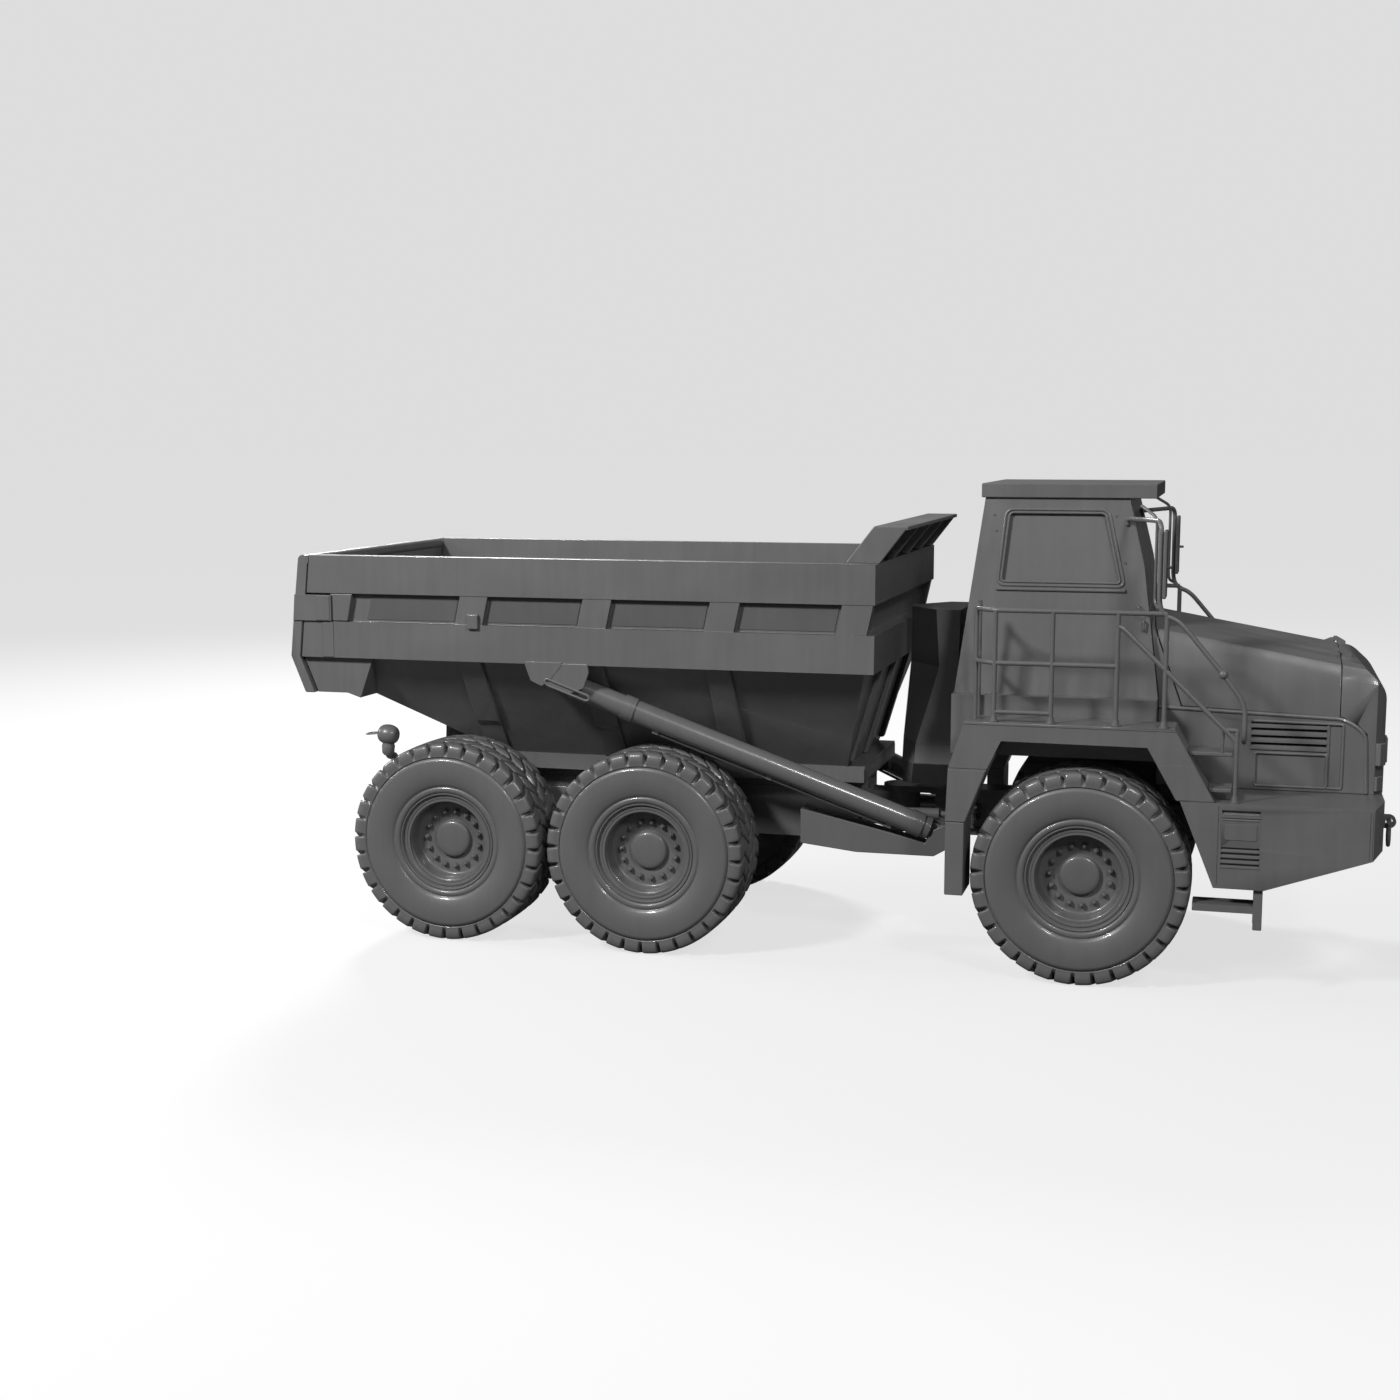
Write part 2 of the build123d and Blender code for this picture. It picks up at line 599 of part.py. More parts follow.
BED_LEN = BED_FRONT - BED_TAIL + 800
with BuildPart() as load_space:
    extrude(hull_side(BED_WALL, BED_TAIL - 300), amount=BED_HALF, both=True)
    extrude(cross_face(BED_TAIL - 400, *hull_section(BED_WALL)), amount=BED_LEN, mode=Mode.INTERSECT)
    extrude(tail_chute(BED_WALL, BED_TAIL - 300), amount=SKIN_HALF - BED_WALL, both=True)

with BuildPart() as bed_shell:
    extrude(hull_side(0, BED_TAIL - 150), amount=BED_HALF, both=True)
    extrude(cross_face(BED_TAIL - 400, *hull_section(0)), amount=BED_LEN, mode=Mode.INTERSECT)
    extrude(tail_chute(0, BED_TAIL - 150), amount=SKIN_HALF, both=True)
    # Rails round both sides and the front
    rail_len = BED_FRONT + RAIL_PROUD - (BED_TAIL - 150)
    for low, high in (LOW_RAIL, TOP_RAIL):
        extrude(side_face(BED_TAIL - 150, 0, (0, low), (rail_len, low), (rail_len, high), (0, high)),
                amount=BED_HALF, both=True)
    # Posts on the sides between the rails
    post_in = SKIN_HALF - 60
    for n in range(4):
        front = BED_FRONT + 80 - n * POST_PITCH
        for hand in (1, -1):
            extrude(side_face(front, hand * (BED_HALF + post_in) / 2, (0, TOP_RAIL[0]),
                              (-POST_W, TOP_RAIL[0]), (-POST_W - POST_LEAN, LOW_RAIL[1]),
                              (-POST_LEAN, LOW_RAIL[1])),
                    amount=(BED_HALF - post_in) / 2 - 5, both=True)
    # Ears for the hoist rods, below the lower rail
    for hand in (1, -1):
        for ear_y in (HOIST_TOP[1] - HOIST_EAR, HOIST_TOP[1] + HOIST_EAR):
            extrude(side_face(HOIST_TOP[0], hand * ear_y, (-90, HOIST_TOP[2] - 40), (0, HOIST_TOP[2] - 80),
                              (70, HOIST_TOP[2] - 30), (170, BREAK_Z), (170, BREAK_Z + 20),
                              (-140, BREAK_Z + 20), (-140, BREAK_Z)), amount=11, both=True)
    add(load_space.part, mode=Mode.SUBTRACT)
    # The tail's end, bent as the tailgate is
    extrude(side_face(BED_TAIL, 0, (-400, BED_TOP + 50), (0, BED_TOP + 50), (0, BED_TOP),
                      (-TAIL_BEND, BREAK_Z), (TAIL_FOOT, TAIL_Z), (TAIL_FOOT, TAIL_Z - 60),
                      (-400, TAIL_Z - 60)), amount=BED_HALF + 20, both=True, mode=Mode.SUBTRACT)
    # Floor beams along the hull's lower edges and over the frame's rails
    beam_len = FRONT_FOOT + 140 - (TIP_X + 540)
    for beam_y, beam_half, low in ((FLOOR_HALF - 60, 75, BEAM_FOOT), (470, 70, RAIL_TOP + FACE_GAP)):
        for hand in (1, -1):
            extrude(side_face(TIP_X + 540, hand * beam_y, (0, low), (beam_len, low), (beam_len, FLOOR_Z - 10),
                              (beam_len - 160, FLOOR_Z + 10), (0, FLOOR_Z + 10)), amount=beam_half, both=True)
    extrude(cross_face(FRONT_FOOT - 60, (-FLOOR_HALF, BEAM_FOOT), (FLOOR_HALF, BEAM_FOOT),
                       (FLOOR_HALF, FLOOR_Z + 10), (-FLOOR_HALF, FLOOR_Z + 10)), amount=200)
    # Brackets down to the tip pins
    for hand in (1, -1):
        bracket_y = hand * (RAIL_OUT - EAR_T - 5 - BRACKET_T / 2)
        extrude(side_face(TIP_X, bracket_y, (-75, TIP_Z), (-40, TIP_Z - 70), (40, TIP_Z - 70),
                          (560, FLOOR_Z - 60), (560, FLOOR_Z + 20), (0, 1725), (-60, 1760)),
                amount=BRACKET_T / 2, both=True)
        with BuildSketch(Plane.XZ.offset(-bracket_y + 200)):
            with Locations((TIP_X, TIP_Z)):
                Circle(TIP_PIN_R + FIT_GAP)
        extrude(amount=-400, mode=Mode.SUBTRACT)
save(bed_shell, "bed_shell")

# Ribs on the hull: down the sloped sides behind the posts, those over the tyres cut short, and down the front
with BuildPart() as bed_ribs:
    slope = (BREAK_HALF - FLOOR_HALF) / (BREAK_Z - FLOOR_Z)
    for n, rib_low in enumerate(RIB_LOW, start=1):
        low_half = FLOOR_HALF + (rib_low - FLOOR_Z) * slope + FACE_GAP
        rib = [(low_half, rib_low), (low_half + 8, rib_low),
               (low_half + RIB_FOOT * slope + RIB_OUT, rib_low + RIB_FOOT),
               (BREAK_HALF + RIB_OUT, BREAK_Z - FACE_GAP), (BREAK_HALF + FACE_GAP, BREAK_Z - FACE_GAP)]
        extrude(cross_face(BED_FRONT - 215 - n * POST_PITCH, *rib), amount=POST_W - 35)
    mirror(about=Plane.XZ)
    for rib_y, rib_low in ((0, FLOOR_Z + 11), (-BREAK_HALF / 2, FLOOR_Z + 50),
                           (BREAK_HALF / 2, FLOOR_Z + 50)):
        foot_x = FRONT_FOOT + (rib_low - FLOOR_Z) * (BED_FRONT - FRONT_FOOT) / (BREAK_Z - FLOOR_Z)
        extrude(side_face(0, rib_y, (foot_x + FACE_GAP, rib_low), (foot_x + RIB_OUT, rib_low),
                          (BED_FRONT + RIB_OUT, BREAK_Z - FACE_GAP),
                          (BED_FRONT + FACE_GAP, BREAK_Z - FACE_GAP)), amount=45, both=True)
save(bed_ribs, "bed_ribs")

# Rock guard: a sloped plate over the front rail, with end plates and ribs, open ahead
with BuildPart() as rock_guard:
    base = BED_FRONT - 160
    lean, depth, top, low = GUARD_LEAN, GUARD_DEPTH, GUARD_TOP, BED_TOP + FACE_GAP
    extrude(side_face(base, 0, (0, low), (PLATE, low), (lean + PLATE, top - PLATE),
                      (lean + depth, top - PLATE), (lean + depth, top), (lean, top)),
            amount=GUARD_HALF, both=True)
    for rib_y in (-GUARD_HALF + PLATE / 2, -GUARD_HALF / 2, 0, GUARD_HALF / 2, GUARD_HALF - PLATE / 2):
        extrude(side_face(base, rib_y, (0, low), (depth, low), (lean + depth, top), (lean, top)),
                amount=PLATE / 2, both=True)
save(rock_guard, "rock_guard")

# Tailgate: hung from a tube along its top, bent in at its foot, with a catch plate round each side
with BuildPart() as tailgate:
    gx, gz = GATE_PIVOT
    gate_half = BED_HALF + OPEN_GAP
    with BuildSketch(Plane.XZ):
        with Locations((gx, gz)):
            Circle(GATE_TUBE_R)
    extrude(amount=gate_half, both=True)
    extrude(side_face(BED_TAIL - OPEN_GAP - 3, 0, (-10, gz - 40), (-TAIL_BEND, BREAK_Z), (TAIL_FOOT, TAIL_Z),
                      (TAIL_FOOT - GATE_T, TAIL_Z), (-TAIL_BEND - GATE_T, BREAK_Z),
                      (-62 - GATE_T, LOW_RAIL[1]), (-10 - GATE_T, gz - 10)), amount=gate_half, both=True)
    for hand in (1, -1):
        extrude(side_face(BED_TAIL, hand * (gate_half + 7), (-145, LOW_RAIL[1] + 5), (190, LOW_RAIL[1] + 5),
                          (190, TOP_RAIL[0] - 15), (-130, TOP_RAIL[0] - 15)), amount=7, both=True)
save(tailgate, "tailgate")


# Fenders: a deck over each front wheel with a leg before and behind, and a mudflap
with BuildPart() as fenders:
    deck_mid, deck_half = (DECK_OUT + DECK_IN) / 2, (DECK_OUT - DECK_IN) / 2
    leg_low = BUMPER_TOP + FACE_GAP
    extrude(side_face(FRONT_X, deck_mid, (-860, DECK_Z), (660, DECK_Z), (956, leg_low), (686, leg_low),
                      (470, 1820), (-586, 1829), (-690, 1610), (-845, LEG_LOW), (-993, LEG_LOW),
                      (-977, 1610)), amount=deck_half, both=True)
    # Seams across the rear leg and below the deck
    for seam_z, seam_end in ((1606, -600), (DECK_Z - 26, 700)):
        extrude(side_face(FRONT_X, DECK_OUT, (-1100, seam_z), (seam_end, seam_z), (seam_end, seam_z + 7),
                          (-1100, seam_z + 7)), amount=5, both=True, mode=Mode.SUBTRACT)
    mirror(about=Plane.XZ)
save(fenders, "fenders")

with BuildPart() as mudflaps:
    extrude(side_face(FRONT_X, deck_mid, (-991, FLAP_LOW), (-851, FLAP_LOW), (-849, LEG_LOW - FACE_GAP),
                      (-991, LEG_LOW - FACE_GAP)), amount=deck_half, both=True)
    mirror(about=Plane.XZ)
save(mudflaps, "mudflaps")

def vent_bar(x, hand, face_y, z, pitch):
    """A vent bar's section across a side wall whose face is at face_y: its outer edge hangs lowest."""
    return cross_face(x, (hand * (face_y - 26), z + pitch * 0.25), (hand * (face_y - 26), z - pitch * 0.05),
                      (hand * (face_y + 4), z - pitch * 0.4), (hand * (face_y + 4), z - pitch * 0.1))


# Bumper: a U in plan, open to the wheels, with sloped ends below and a step plate each side of the nose
with BuildPart() as bumper:
    extrude(side_face(FRONT_X, 0, (712, BUMPER_TOP), (964, 815), (1317, 814), (BUMPER_SIDE - FRONT_X, 1071),
                      (BUMPER_FRONT - FRONT_X, 1071), (BUMPER_FRONT - FRONT_X, BUMPER_TOP)),
            amount=BUMPER_HALF, both=True)
    with BuildSketch(Plane.XY.offset(BUMPER_TOP - 40)):
        with BuildLine():
            inner, inner_flat = BUMPER_HALF - 90, BUMPER_FLAT - 30
            Polyline((FRONT_X + 600, -inner), (BUMPER_SIDE - 90, -inner), (BUMPER_FRONT - 90, -inner_flat),
                     (BUMPER_FRONT - 90, inner_flat), (BUMPER_SIDE - 90, inner), (FRONT_X + 600, inner),
                     close=True)
        make_face()
    extrude(amount=-800, mode=Mode.SUBTRACT)
    with BuildSketch(Plane.XY.offset(BUMPER_TOP - 60)):
        with BuildLine():
            hole = HOOD_SIDE - 35
            Polyline((FRONT_X + 600, -hole), (BUMPER_FRONT - 90, -hole), (BUMPER_FRONT - 90, hole),
                     (FRONT_X + 600, hole), close=True)
        make_face()
    extrude(amount=100, mode=Mode.SUBTRACT)
    with BuildSketch(Plane.XY.offset(700)):
        with BuildLine():
            Polyline((FRONT_X + 600, -BUMPER_HALF), (BUMPER_SIDE, -BUMPER_HALF), (BUMPER_FRONT, -BUMPER_FLAT),
                     (BUMPER_FRONT, BUMPER_FLAT), (BUMPER_SIDE, BUMPER_HALF), (FRONT_X + 600, BUMPER_HALF),
                     close=True)
        make_face()
    extrude(amount=900, mode=Mode.INTERSECT)
    # Vents in each side: two sunk panels with slanted bars across them, and two upright seams
    for hand in (1, -1):
        for low, high, pitch in BUMPER_VENTS:
            extrude(side_face(VENT_X, hand * BUMPER_HALF, (0, low), (VENT_W, low), (VENT_W, high), (0, high)),
                    amount=24, both=True, mode=Mode.SUBTRACT)
            for n in range(int((high - low) / pitch)):
                bar_z = low + (n + 0.5) * pitch
                extrude(vent_bar(VENT_X - 3, hand, BUMPER_HALF, bar_z, pitch), amount=VENT_W + 6)
        for seam_x, seam_low in ((VENT_X - 26, 830), (BUMPER_SIDE - 30, 1060)):
            extrude(side_face(seam_x, hand * BUMPER_HALF, (0, seam_low), (6, seam_low), (6, BUMPER_TOP - 18),
                              (0, BUMPER_TOP - 18)), amount=4, both=True, mode=Mode.SUBTRACT)
    # Brackets back to the frame's rails
    for hand in (1, -1):
        extrude(side_face(0, hand * (FRAME_OUT + 20 + FACE_GAP), (BUMPER_SIDE - 420, FRAME_LOW + 20),
                          (BUMPER_FRONT - 60, FRAME_LOW + 70), (BUMPER_FRONT - 60, BUMPER_TOP - 60),
                          (BUMPER_SIDE - 180, FRAME_TOP), (BUMPER_SIDE - 420, FRAME_TOP)),
                amount=20, both=True)
save(bumper, "bumper")

with BuildPart() as tow_hooks:
    eye_x = HOOK_TIP - HOOK_R
    base_x = BUMPER_FRONT + FACE_GAP
    for hand in (1, -1):
        with BuildSketch(Plane.XZ.offset(-hand * HOOK_Y)):
            with Locations((eye_x, 1240)):
                Circle(HOOK_R)
            with Locations(((base_x + eye_x) / 2, 1240)):
                Rectangle(eye_x - base_x, 2 * HOOK_R)
            with Locations((base_x + 6, 1240)):
                Rectangle(12, 190)
            with Locations((eye_x, 1240)):
                Circle(26, mode=Mode.SUBTRACT)
        extrude(amount=22, both=True)
save(tow_hooks, "tow_hooks")

# Railings round the decks
deck = DECK_Z + FACE_GAP
y_out, y_in = RAILING_Y, DECK_IN + 10
corner_y = y_in + 0.65 * (y_out - y_in)
with BuildPart() as railings:
    corner = (FRONT_X - 805, FRONT_X - 665)
    runs = [[(corner[0], y_in, z), (corner[0], corner_y, z), (corner[1], y_out, z),
             (FRONT_X + 240, y_out, z)] for z in (RAILING_TOP, RAILING_MID)]
    for post_x, post_y in ((corner[1] + 15, y_out), (FRONT_X - 232, y_out), (FRONT_X + 236, y_out),
                           (corner[0], corner_y - 10)):
        runs += [[(post_x, post_y, deck), (post_x, post_y, RAILING_TOP)]]
    runs += [[(FRONT_X + 225, y_out, RAILING_TOP - 100), (FRONT_X + 1095, y_out, 1885),
              (FRONT_X + 1095, y_out, BUMPER_TOP + 1)]]
    runs += [[(FRONT_X + 570, y_out, deck), (FRONT_X + 570, y_out, 2780), (FRONT_X + 667, y_out, 2764),
              (FRONT_X + 986, y_out, 2368), (FRONT_X + 1145, y_out, 2153),
              (FRONT_X + 1145, y_out, BUMPER_TOP + 1)]]
    for run in runs:
        with BuildLine() as path:
            Polyline(*run)
        with BuildSketch(path.line ^ 0):
            Circle(RAIL_R)
        sweep(transition=Transition.RIGHT)
    mirror(about=Plane.XZ)
save(railings, "railings")

# Steps up to each deck, between the fender's leg and the stanchion
with BuildPart() as steps:
    for low, reach in ((1505, 1074), (1770, 1074)):
        rear = [660 + (DECK_Z - z) * 296 / (DECK_Z - BUMPER_TOP) + FACE_GAP for z in (low, low + STEP_T)]
        extrude(side_face(FRONT_X, deck_mid, (rear[0], low), (reach, low), (reach, low + STEP_T),
                          (rear[1], low + STEP_T)), amount=deck_half - 70, both=True)
    mirror(about=Plane.XZ)
save(steps, "steps")

with BuildPart() as lower_steps:
    step_y = BUMPER_HALF - 150
    extrude(side_face(FRONT_X, step_y, (820, 630), (1255, 630), (1255, 685), (820, 685)), amount=110,
            both=True)
    for y in (step_y - 105, step_y + 105):
        extrude(side_face(FRONT_X, y, (1250, 510), (1314, 510), (1314, 814 - FACE_GAP),
                          (1250, 814 - FACE_GAP)), amount=12, both=True)
    mirror(about=Plane.XZ)
save(lower_steps, "lower_steps")


# Cab: side outline and section, made as nested skins
def cab_skin(inset):
    """The cab above its sill as one solid, inset all round."""
    with BuildSketch(Plane.XZ, mode=Mode.PRIVATE) as outline:
        with BuildLine():
            Polyline((CAB_REAR, CAB_SILL), (CAB_REAR + 191, CAB_TOP), (CAB_FRONT - 255, CAB_TOP),
                     (CAB_FRONT - 132, CAB_BEND), (CAB_FRONT, CAB_SILL), close=True)
        make_face()
        if inset:
            offset(amount=-inset, kind=Kind.INTERSECTION)
    with BuildSketch(Plane.YZ, mode=Mode.PRIVATE) as section:
        with BuildLine():
            Polyline((-CAB_LOW_HALF, CAB_SILL), (CAB_LOW_HALF, CAB_SILL), (CAB_TOP_HALF, CAB_TOP),
                     (-CAB_TOP_HALF, CAB_TOP), close=True)
        make_face()
        if inset:
            offset(amount=-inset, kind=Kind.INTERSECTION)
    with BuildPart(mode=Mode.PRIVATE) as skin:
        extrude(outline.sketch, amount=CAB_LOW_HALF + 100, both=True)
        extrude(section.sketch, amount=CAB_FRONT + 100, mode=Mode.INTERSECT)
    return skin.part


def window(kind, margin):
    """A prism through one wall of the cab, larger than the pane by the margin."""
    low, high, deep = CAB_TOP - 636 - margin, CAB_TOP - 112 + margin, CAB_TOP - 840 - margin
    if kind == "right":
        face = side_face(FRONT_X, -500, (-689 - margin, low), (210 + margin, low), (84 + margin, high),
                         (-637 - margin, high))
        return extrude(face, amount=500, mode=Mode.PRIVATE)
    if kind == "left":
        face = side_face(FRONT_X, 1000, (-760 - margin, low), (-560 + margin, low), (-560 + margin, high),
                         (-720 - margin, high))
        return extrude(face, amount=500, mode=Mode.PRIVATE)
    if kind == "door":
        rear, low, high = DOOR_REAR + 55 - margin, CAB_TOP - 960 - margin, high - 55
        front = DOOR_FRONT - 45 + margin
        face = side_face(0, 1000, (rear, low), (front, low), (front - 20, high), (rear, high))
        return extrude(face, amount=500, mode=Mode.PRIVATE)
    if kind == "front":
        face = cross_face(FRONT_X + 100, (-640 - margin, deep), (640 + margin, deep), (590 + margin, high),
                          (-590 - margin, high))
        return extrude(face, amount=600, mode=Mode.PRIVATE)
    face = cross_face(CAB_REAR - 50, (-520 - margin, deep), (520 + margin, deep),
                      (500 + margin, high - 30), (-500 - margin, high - 30))
    return extrude(face, amount=400, mode=Mode.PRIVATE)


def door_prism(margin):
    """The door's outline through the left wall, larger by the margin and by twice the margin above."""
    rear, front, low, high = DOOR_REAR - margin, DOOR_FRONT + margin, DOOR_LOW - margin, DOOR_TOP + 2 * margin
    face = side_face(0, 1000, (rear, low), (front, low), (front, high - 60), (front - 60, high), (rear, high))
    return extrude(face, amount=450, mode=Mode.PRIVATE)


def hinge_plane(z, along):
    """A plane across the door's hinge line, from its height on the left wall and a distance along it."""
    lean = (CAB_LOW_HALF - CAB_TOP_HALF) / (CAB_TOP - CAB_SILL)
    wall_y = CAB_LOW_HALF - (z - CAB_SILL) * lean
    return Plane(origin=(DOOR_HINGE_X, wall_y, z), x_dir=(1, 0, 0), z_dir=(0, -lean, 1)).offset(along)


def hinge_leaf(z, along, side):
    """A knuckle outside the wall with its leaf to one side: -1 for the cab, 1 for the door."""
    with BuildPart(mode=Mode.PRIVATE) as leaf:
        with BuildSketch(hinge_plane(z, along)):
            with Locations((0, KNUCKLE_R + 1)):
                Circle(KNUCKLE_R)
            with Locations((side * 29, 3)):
                Rectangle(40, 10)
            with Locations((side * 7, 9)):
                Rectangle(14, 14)
        extrude(amount=DOOR_KNUCKLE)
    return leaf.part


def hinge_pin(z, radius):
    """The hinge's pin, or its bore at a larger radius, as a solid."""
    with BuildPart(mode=Mode.PRIVATE) as pin:
        with BuildSketch(hinge_plane(z, -DOOR_KNUCKLE)):
            with Locations((0, KNUCKLE_R + 1)):
                Circle(radius)
        extrude(amount=3 * DOOR_KNUCKLE)
    return pin.part


cab_outer = cab_skin(0)
cab_inner = cab_skin(CAB_WALL)
glass_skin = cab_skin(GLASS_IN) - cab_skin(GLASS_IN + GLASS_T)
with BuildPart() as cab_walls:
    add(cab_outer)
    extrude(side_face(0, 0, (CAB_REAR, CAB_FLOOR), (CAB_FRONT, CAB_FLOOR), (CAB_FRONT, CAB_SILL),
                      (CAB_REAR, CAB_SILL)), amount=DECK_IN - FACE_GAP, both=True)
    add(cab_inner, mode=Mode.SUBTRACT)
    well_rear, well_front, well_low, well_top = (CAB_REAR + CAB_WALL, CAB_FRONT - CAB_WALL,
                                                 CAB_FLOOR + CAB_WALL, CAB_SILL + CAB_WALL)
    extrude(side_face(0, 0, (well_rear, well_low), (well_front, well_low), (well_front, well_top),
                      (well_rear, well_top)), amount=CAB_LOW_HALF - CAB_WALL - 20, both=True,
            mode=Mode.SUBTRACT)
cab_openings = [window(kind, 0) for kind in ("right", "left", "front", "rear")]
with BuildPart() as cab_shell:
    add(cab_walls.part)
    add([*cab_openings, door_prism(OPEN_GAP)], mode=Mode.SUBTRACT)
    for z in DOOR_HINGE_Z:
        add([hinge_leaf(z, -DOOR_KNUCKLE - FACE_GAP, -1), hinge_leaf(z, DOOR_KNUCKLE + FACE_GAP, -1),
             hinge_pin(z, HINGE_PIN_R)])
save(cab_shell, "cab_shell")

with BuildPart() as cab_glass:
    panes = [glass_skin & window(kind, -FACE_GAP) for kind in ("right", "left", "front", "rear")]
    add(panes)
save(cab_glass, "cab_glass")

with BuildPart() as cab_door:
    add(cab_outer)
    add(cab_inner, mode=Mode.SUBTRACT)
    add(door_prism(0), mode=Mode.INTERSECT)
    add(window("door", 0), mode=Mode.SUBTRACT)
    for z in DOOR_HINGE_Z:
        add(hinge_leaf(z, 0, 1))
        add(hinge_pin(z, HINGE_PIN_R + FIT_GAP), mode=Mode.SUBTRACT)
save(cab_door, "cab_door")

with BuildPart() as door_glass:
    add(glass_skin)
    add(window("door", -FACE_GAP), mode=Mode.INTERSECT)
save(door_glass, "door_glass")

with BuildPart() as cab_roof:
    extrude(side_face(0, 0, (CAB_REAR + 162, CAB_TOP + FACE_GAP), (CAB_FRONT - 55, CAB_TOP + FACE_GAP),
                      (CAB_FRONT - 55, CAB_TOP + ROOF_T), (CAB_REAR + 162, CAB_TOP + ROOF_T)),
            amount=ROOF_HALF, both=True)
save(cab_roof, "cab_roof")

# Seat, dashboard and steering wheel, on the cab's floor
with BuildPart() as cab_interior:
    floor = CAB_FLOOR + CAB_WALL + FACE_GAP
    extrude(side_face(FRONT_X, 0, (-560, floor), (-160, floor), (-160, floor + 420), (-60, floor + 450),
                      (-60, floor + 560), (-500, floor + 540), (-600, floor + 1160), (-700, floor + 1160),
                      (-640, floor + 420), (-560, floor + 400)), amount=250, both=True)
    extrude(side_face(FRONT_X, 0, (300, floor), (430, floor), (400, floor + 560), (330, floor + 860),
                      (180, floor + 820), (300, floor + 560)), amount=560, both=True)
    with BuildSketch(Plane(origin=(FRONT_X + 130, 0, floor + 860), x_dir=(0, 1, 0), z_dir=(-0.5, 0, 0.866))):
        Circle(220)
        Circle(185, mode=Mode.SUBTRACT)
        Rectangle(400, 40)
    extrude(amount=24)
    with BuildSketch(Plane(origin=(FRONT_X + 130, 0, floor + 860), x_dir=(0, 1, 0), z_dir=(0.5, 0, -0.866))):
        Circle(30)
    extrude(amount=260)
save(cab_interior, "cab_interior")

# Tank housing between the cab and the bed, cut away behind so that the truck can turn, in a base and a top
def housing_ring(z, half, rear, point):
    """A level section of the housing: rear is the X of its side's end, point its rear face's half width."""
    front, back = FRONT_X - 1045, FRONT_X - 1490
    with BuildSketch(Plane.XY.offset(z), mode=Mode.PRIVATE) as ring:
        with BuildLine():
            Polyline((front, -half), (front, half), (FRONT_X + rear, half), (back, point), (back, -point),
                     (FRONT_X + rear, -half), close=True)
        make_face()
    return ring.sketch


BASE_RINGS = ((1300, 430, -1415, 380), (1500, 650, -1365, 440), (1660 - FACE_GAP, 650, -1350, 400))
TOP_RINGS = ((1660, 650, -1350, 400), (2250, 495, -1195, 70), (2700, 400, -1240, 50))
with BuildPart() as tank_base:
    for low, high in zip(BASE_RINGS, BASE_RINGS[1:]):
        loft([housing_ring(*low), housing_ring(*high)], ruled=True)
    extrude(side_face(FRONT_X, 0, (-1190, FORK_TOP + FACE_GAP), (-1090, FORK_TOP + FACE_GAP), (-1090, 1340),
                      (-1190, 1340)), amount=130, both=True)
save(tank_base, "tank_base")

with BuildPart() as tank_housing:
    for low, high in zip(TOP_RINGS, TOP_RINGS[1:]):
        loft([housing_ring(*low), housing_ring(*high)], ruled=True)
save(tank_housing, "tank_housing")


# Hood and cowl: one crowned section along a slope, split by a slanted seam
def hood_skin(inset, low):
    """The hood's section along its slope as a solid, inset all round but below."""
    slope = math.radians(HOOD_SLOPE)
    plane = Plane(origin=(HOOD_TOP_X, 0, HOOD_TOP_Z), x_dir=(0, 1, 0),
                  z_dir=(math.cos(slope), 0, -math.sin(slope)))
    half, side_y, crown = HOOD_HALF - inset, HOOD_SIDE - inset, HOOD_CROWN + inset
    with BuildSketch(plane.offset(-500), mode=Mode.PRIVATE) as section:
        with BuildLine():
            ThreePointArc((-half, -crown), (0, -inset), (half, -crown))
            Polyline((half, -crown), (side_y, -crown - 90), (side_y, -low), (-side_y, -low),
                     (-side_y, -crown - 90), (-half, -crown))
        make_face()
    return extrude(section.sketch, amount=2200, mode=Mode.PRIVATE)


hood_shell = hood_skin(0, 1400) - hood_skin(HOOD_T, 1500)
SEAM_LOW = FRONT_X + 690
SEAM_HIGH = FRONT_X + 455
PANEL_TOP = (2047, 2003)
with BuildPart() as hood:
    add(hood_shell)
    extrude(side_face(0, 0, (SEAM_LOW, PANEL_TOP[0] + OPEN_GAP), (HOOD_FRONT, PANEL_TOP[1] + OPEN_GAP),
                      (HOOD_FRONT, 2900), (SEAM_HIGH - 60, 2900), (SEAM_HIGH, 2700)), amount=900, both=True,
            mode=Mode.INTERSECT)
    # Hinge lugs at the front of its top
    for y in HOOD_HINGE_Y:
        extrude(side_face(HOOD_FRONT, y, (-110, HOOD_PIVOT_Z - 30), (0, HOOD_PIVOT_Z - 30 - 12),
                          (0, HOOD_PIVOT_Z), (-30, HOOD_PIVOT_Z + 4)), amount=20, both=True)
        with BuildSketch(Plane.XZ.offset(-y - 20)):
            with Locations((HOOD_FRONT, HOOD_PIVOT_Z)):
                Circle(16)
        extrude(amount=40)
        with BuildSketch(Plane.XZ.offset(-y - 30)):
            with Locations((HOOD_FRONT, HOOD_PIVOT_Z)):
                Circle(HINGE_PIN_R + FIT_GAP)
        extrude(amount=60, mode=Mode.SUBTRACT)
save(hood, "hood")

with BuildPart() as cowl:
    add(hood_shell)
    cab_line = 132 / (CAB_BEND - CAB_SILL)
    extrude(side_face(0, 0, (CAB_FRONT + FACE_GAP, CAB_SILL), (CAB_FRONT + FACE_GAP, PANEL_TOP[0] + FACE_GAP),
                      (SEAM_LOW - OPEN_GAP, PANEL_TOP[0] + FACE_GAP), (SEAM_HIGH - OPEN_GAP, 2700),
                      (CAB_FRONT - (2700 - CAB_SILL) * cab_line + FACE_GAP, 2700)), amount=900, both=True,
            mode=Mode.INTERSECT)
save(cowl, "cowl")

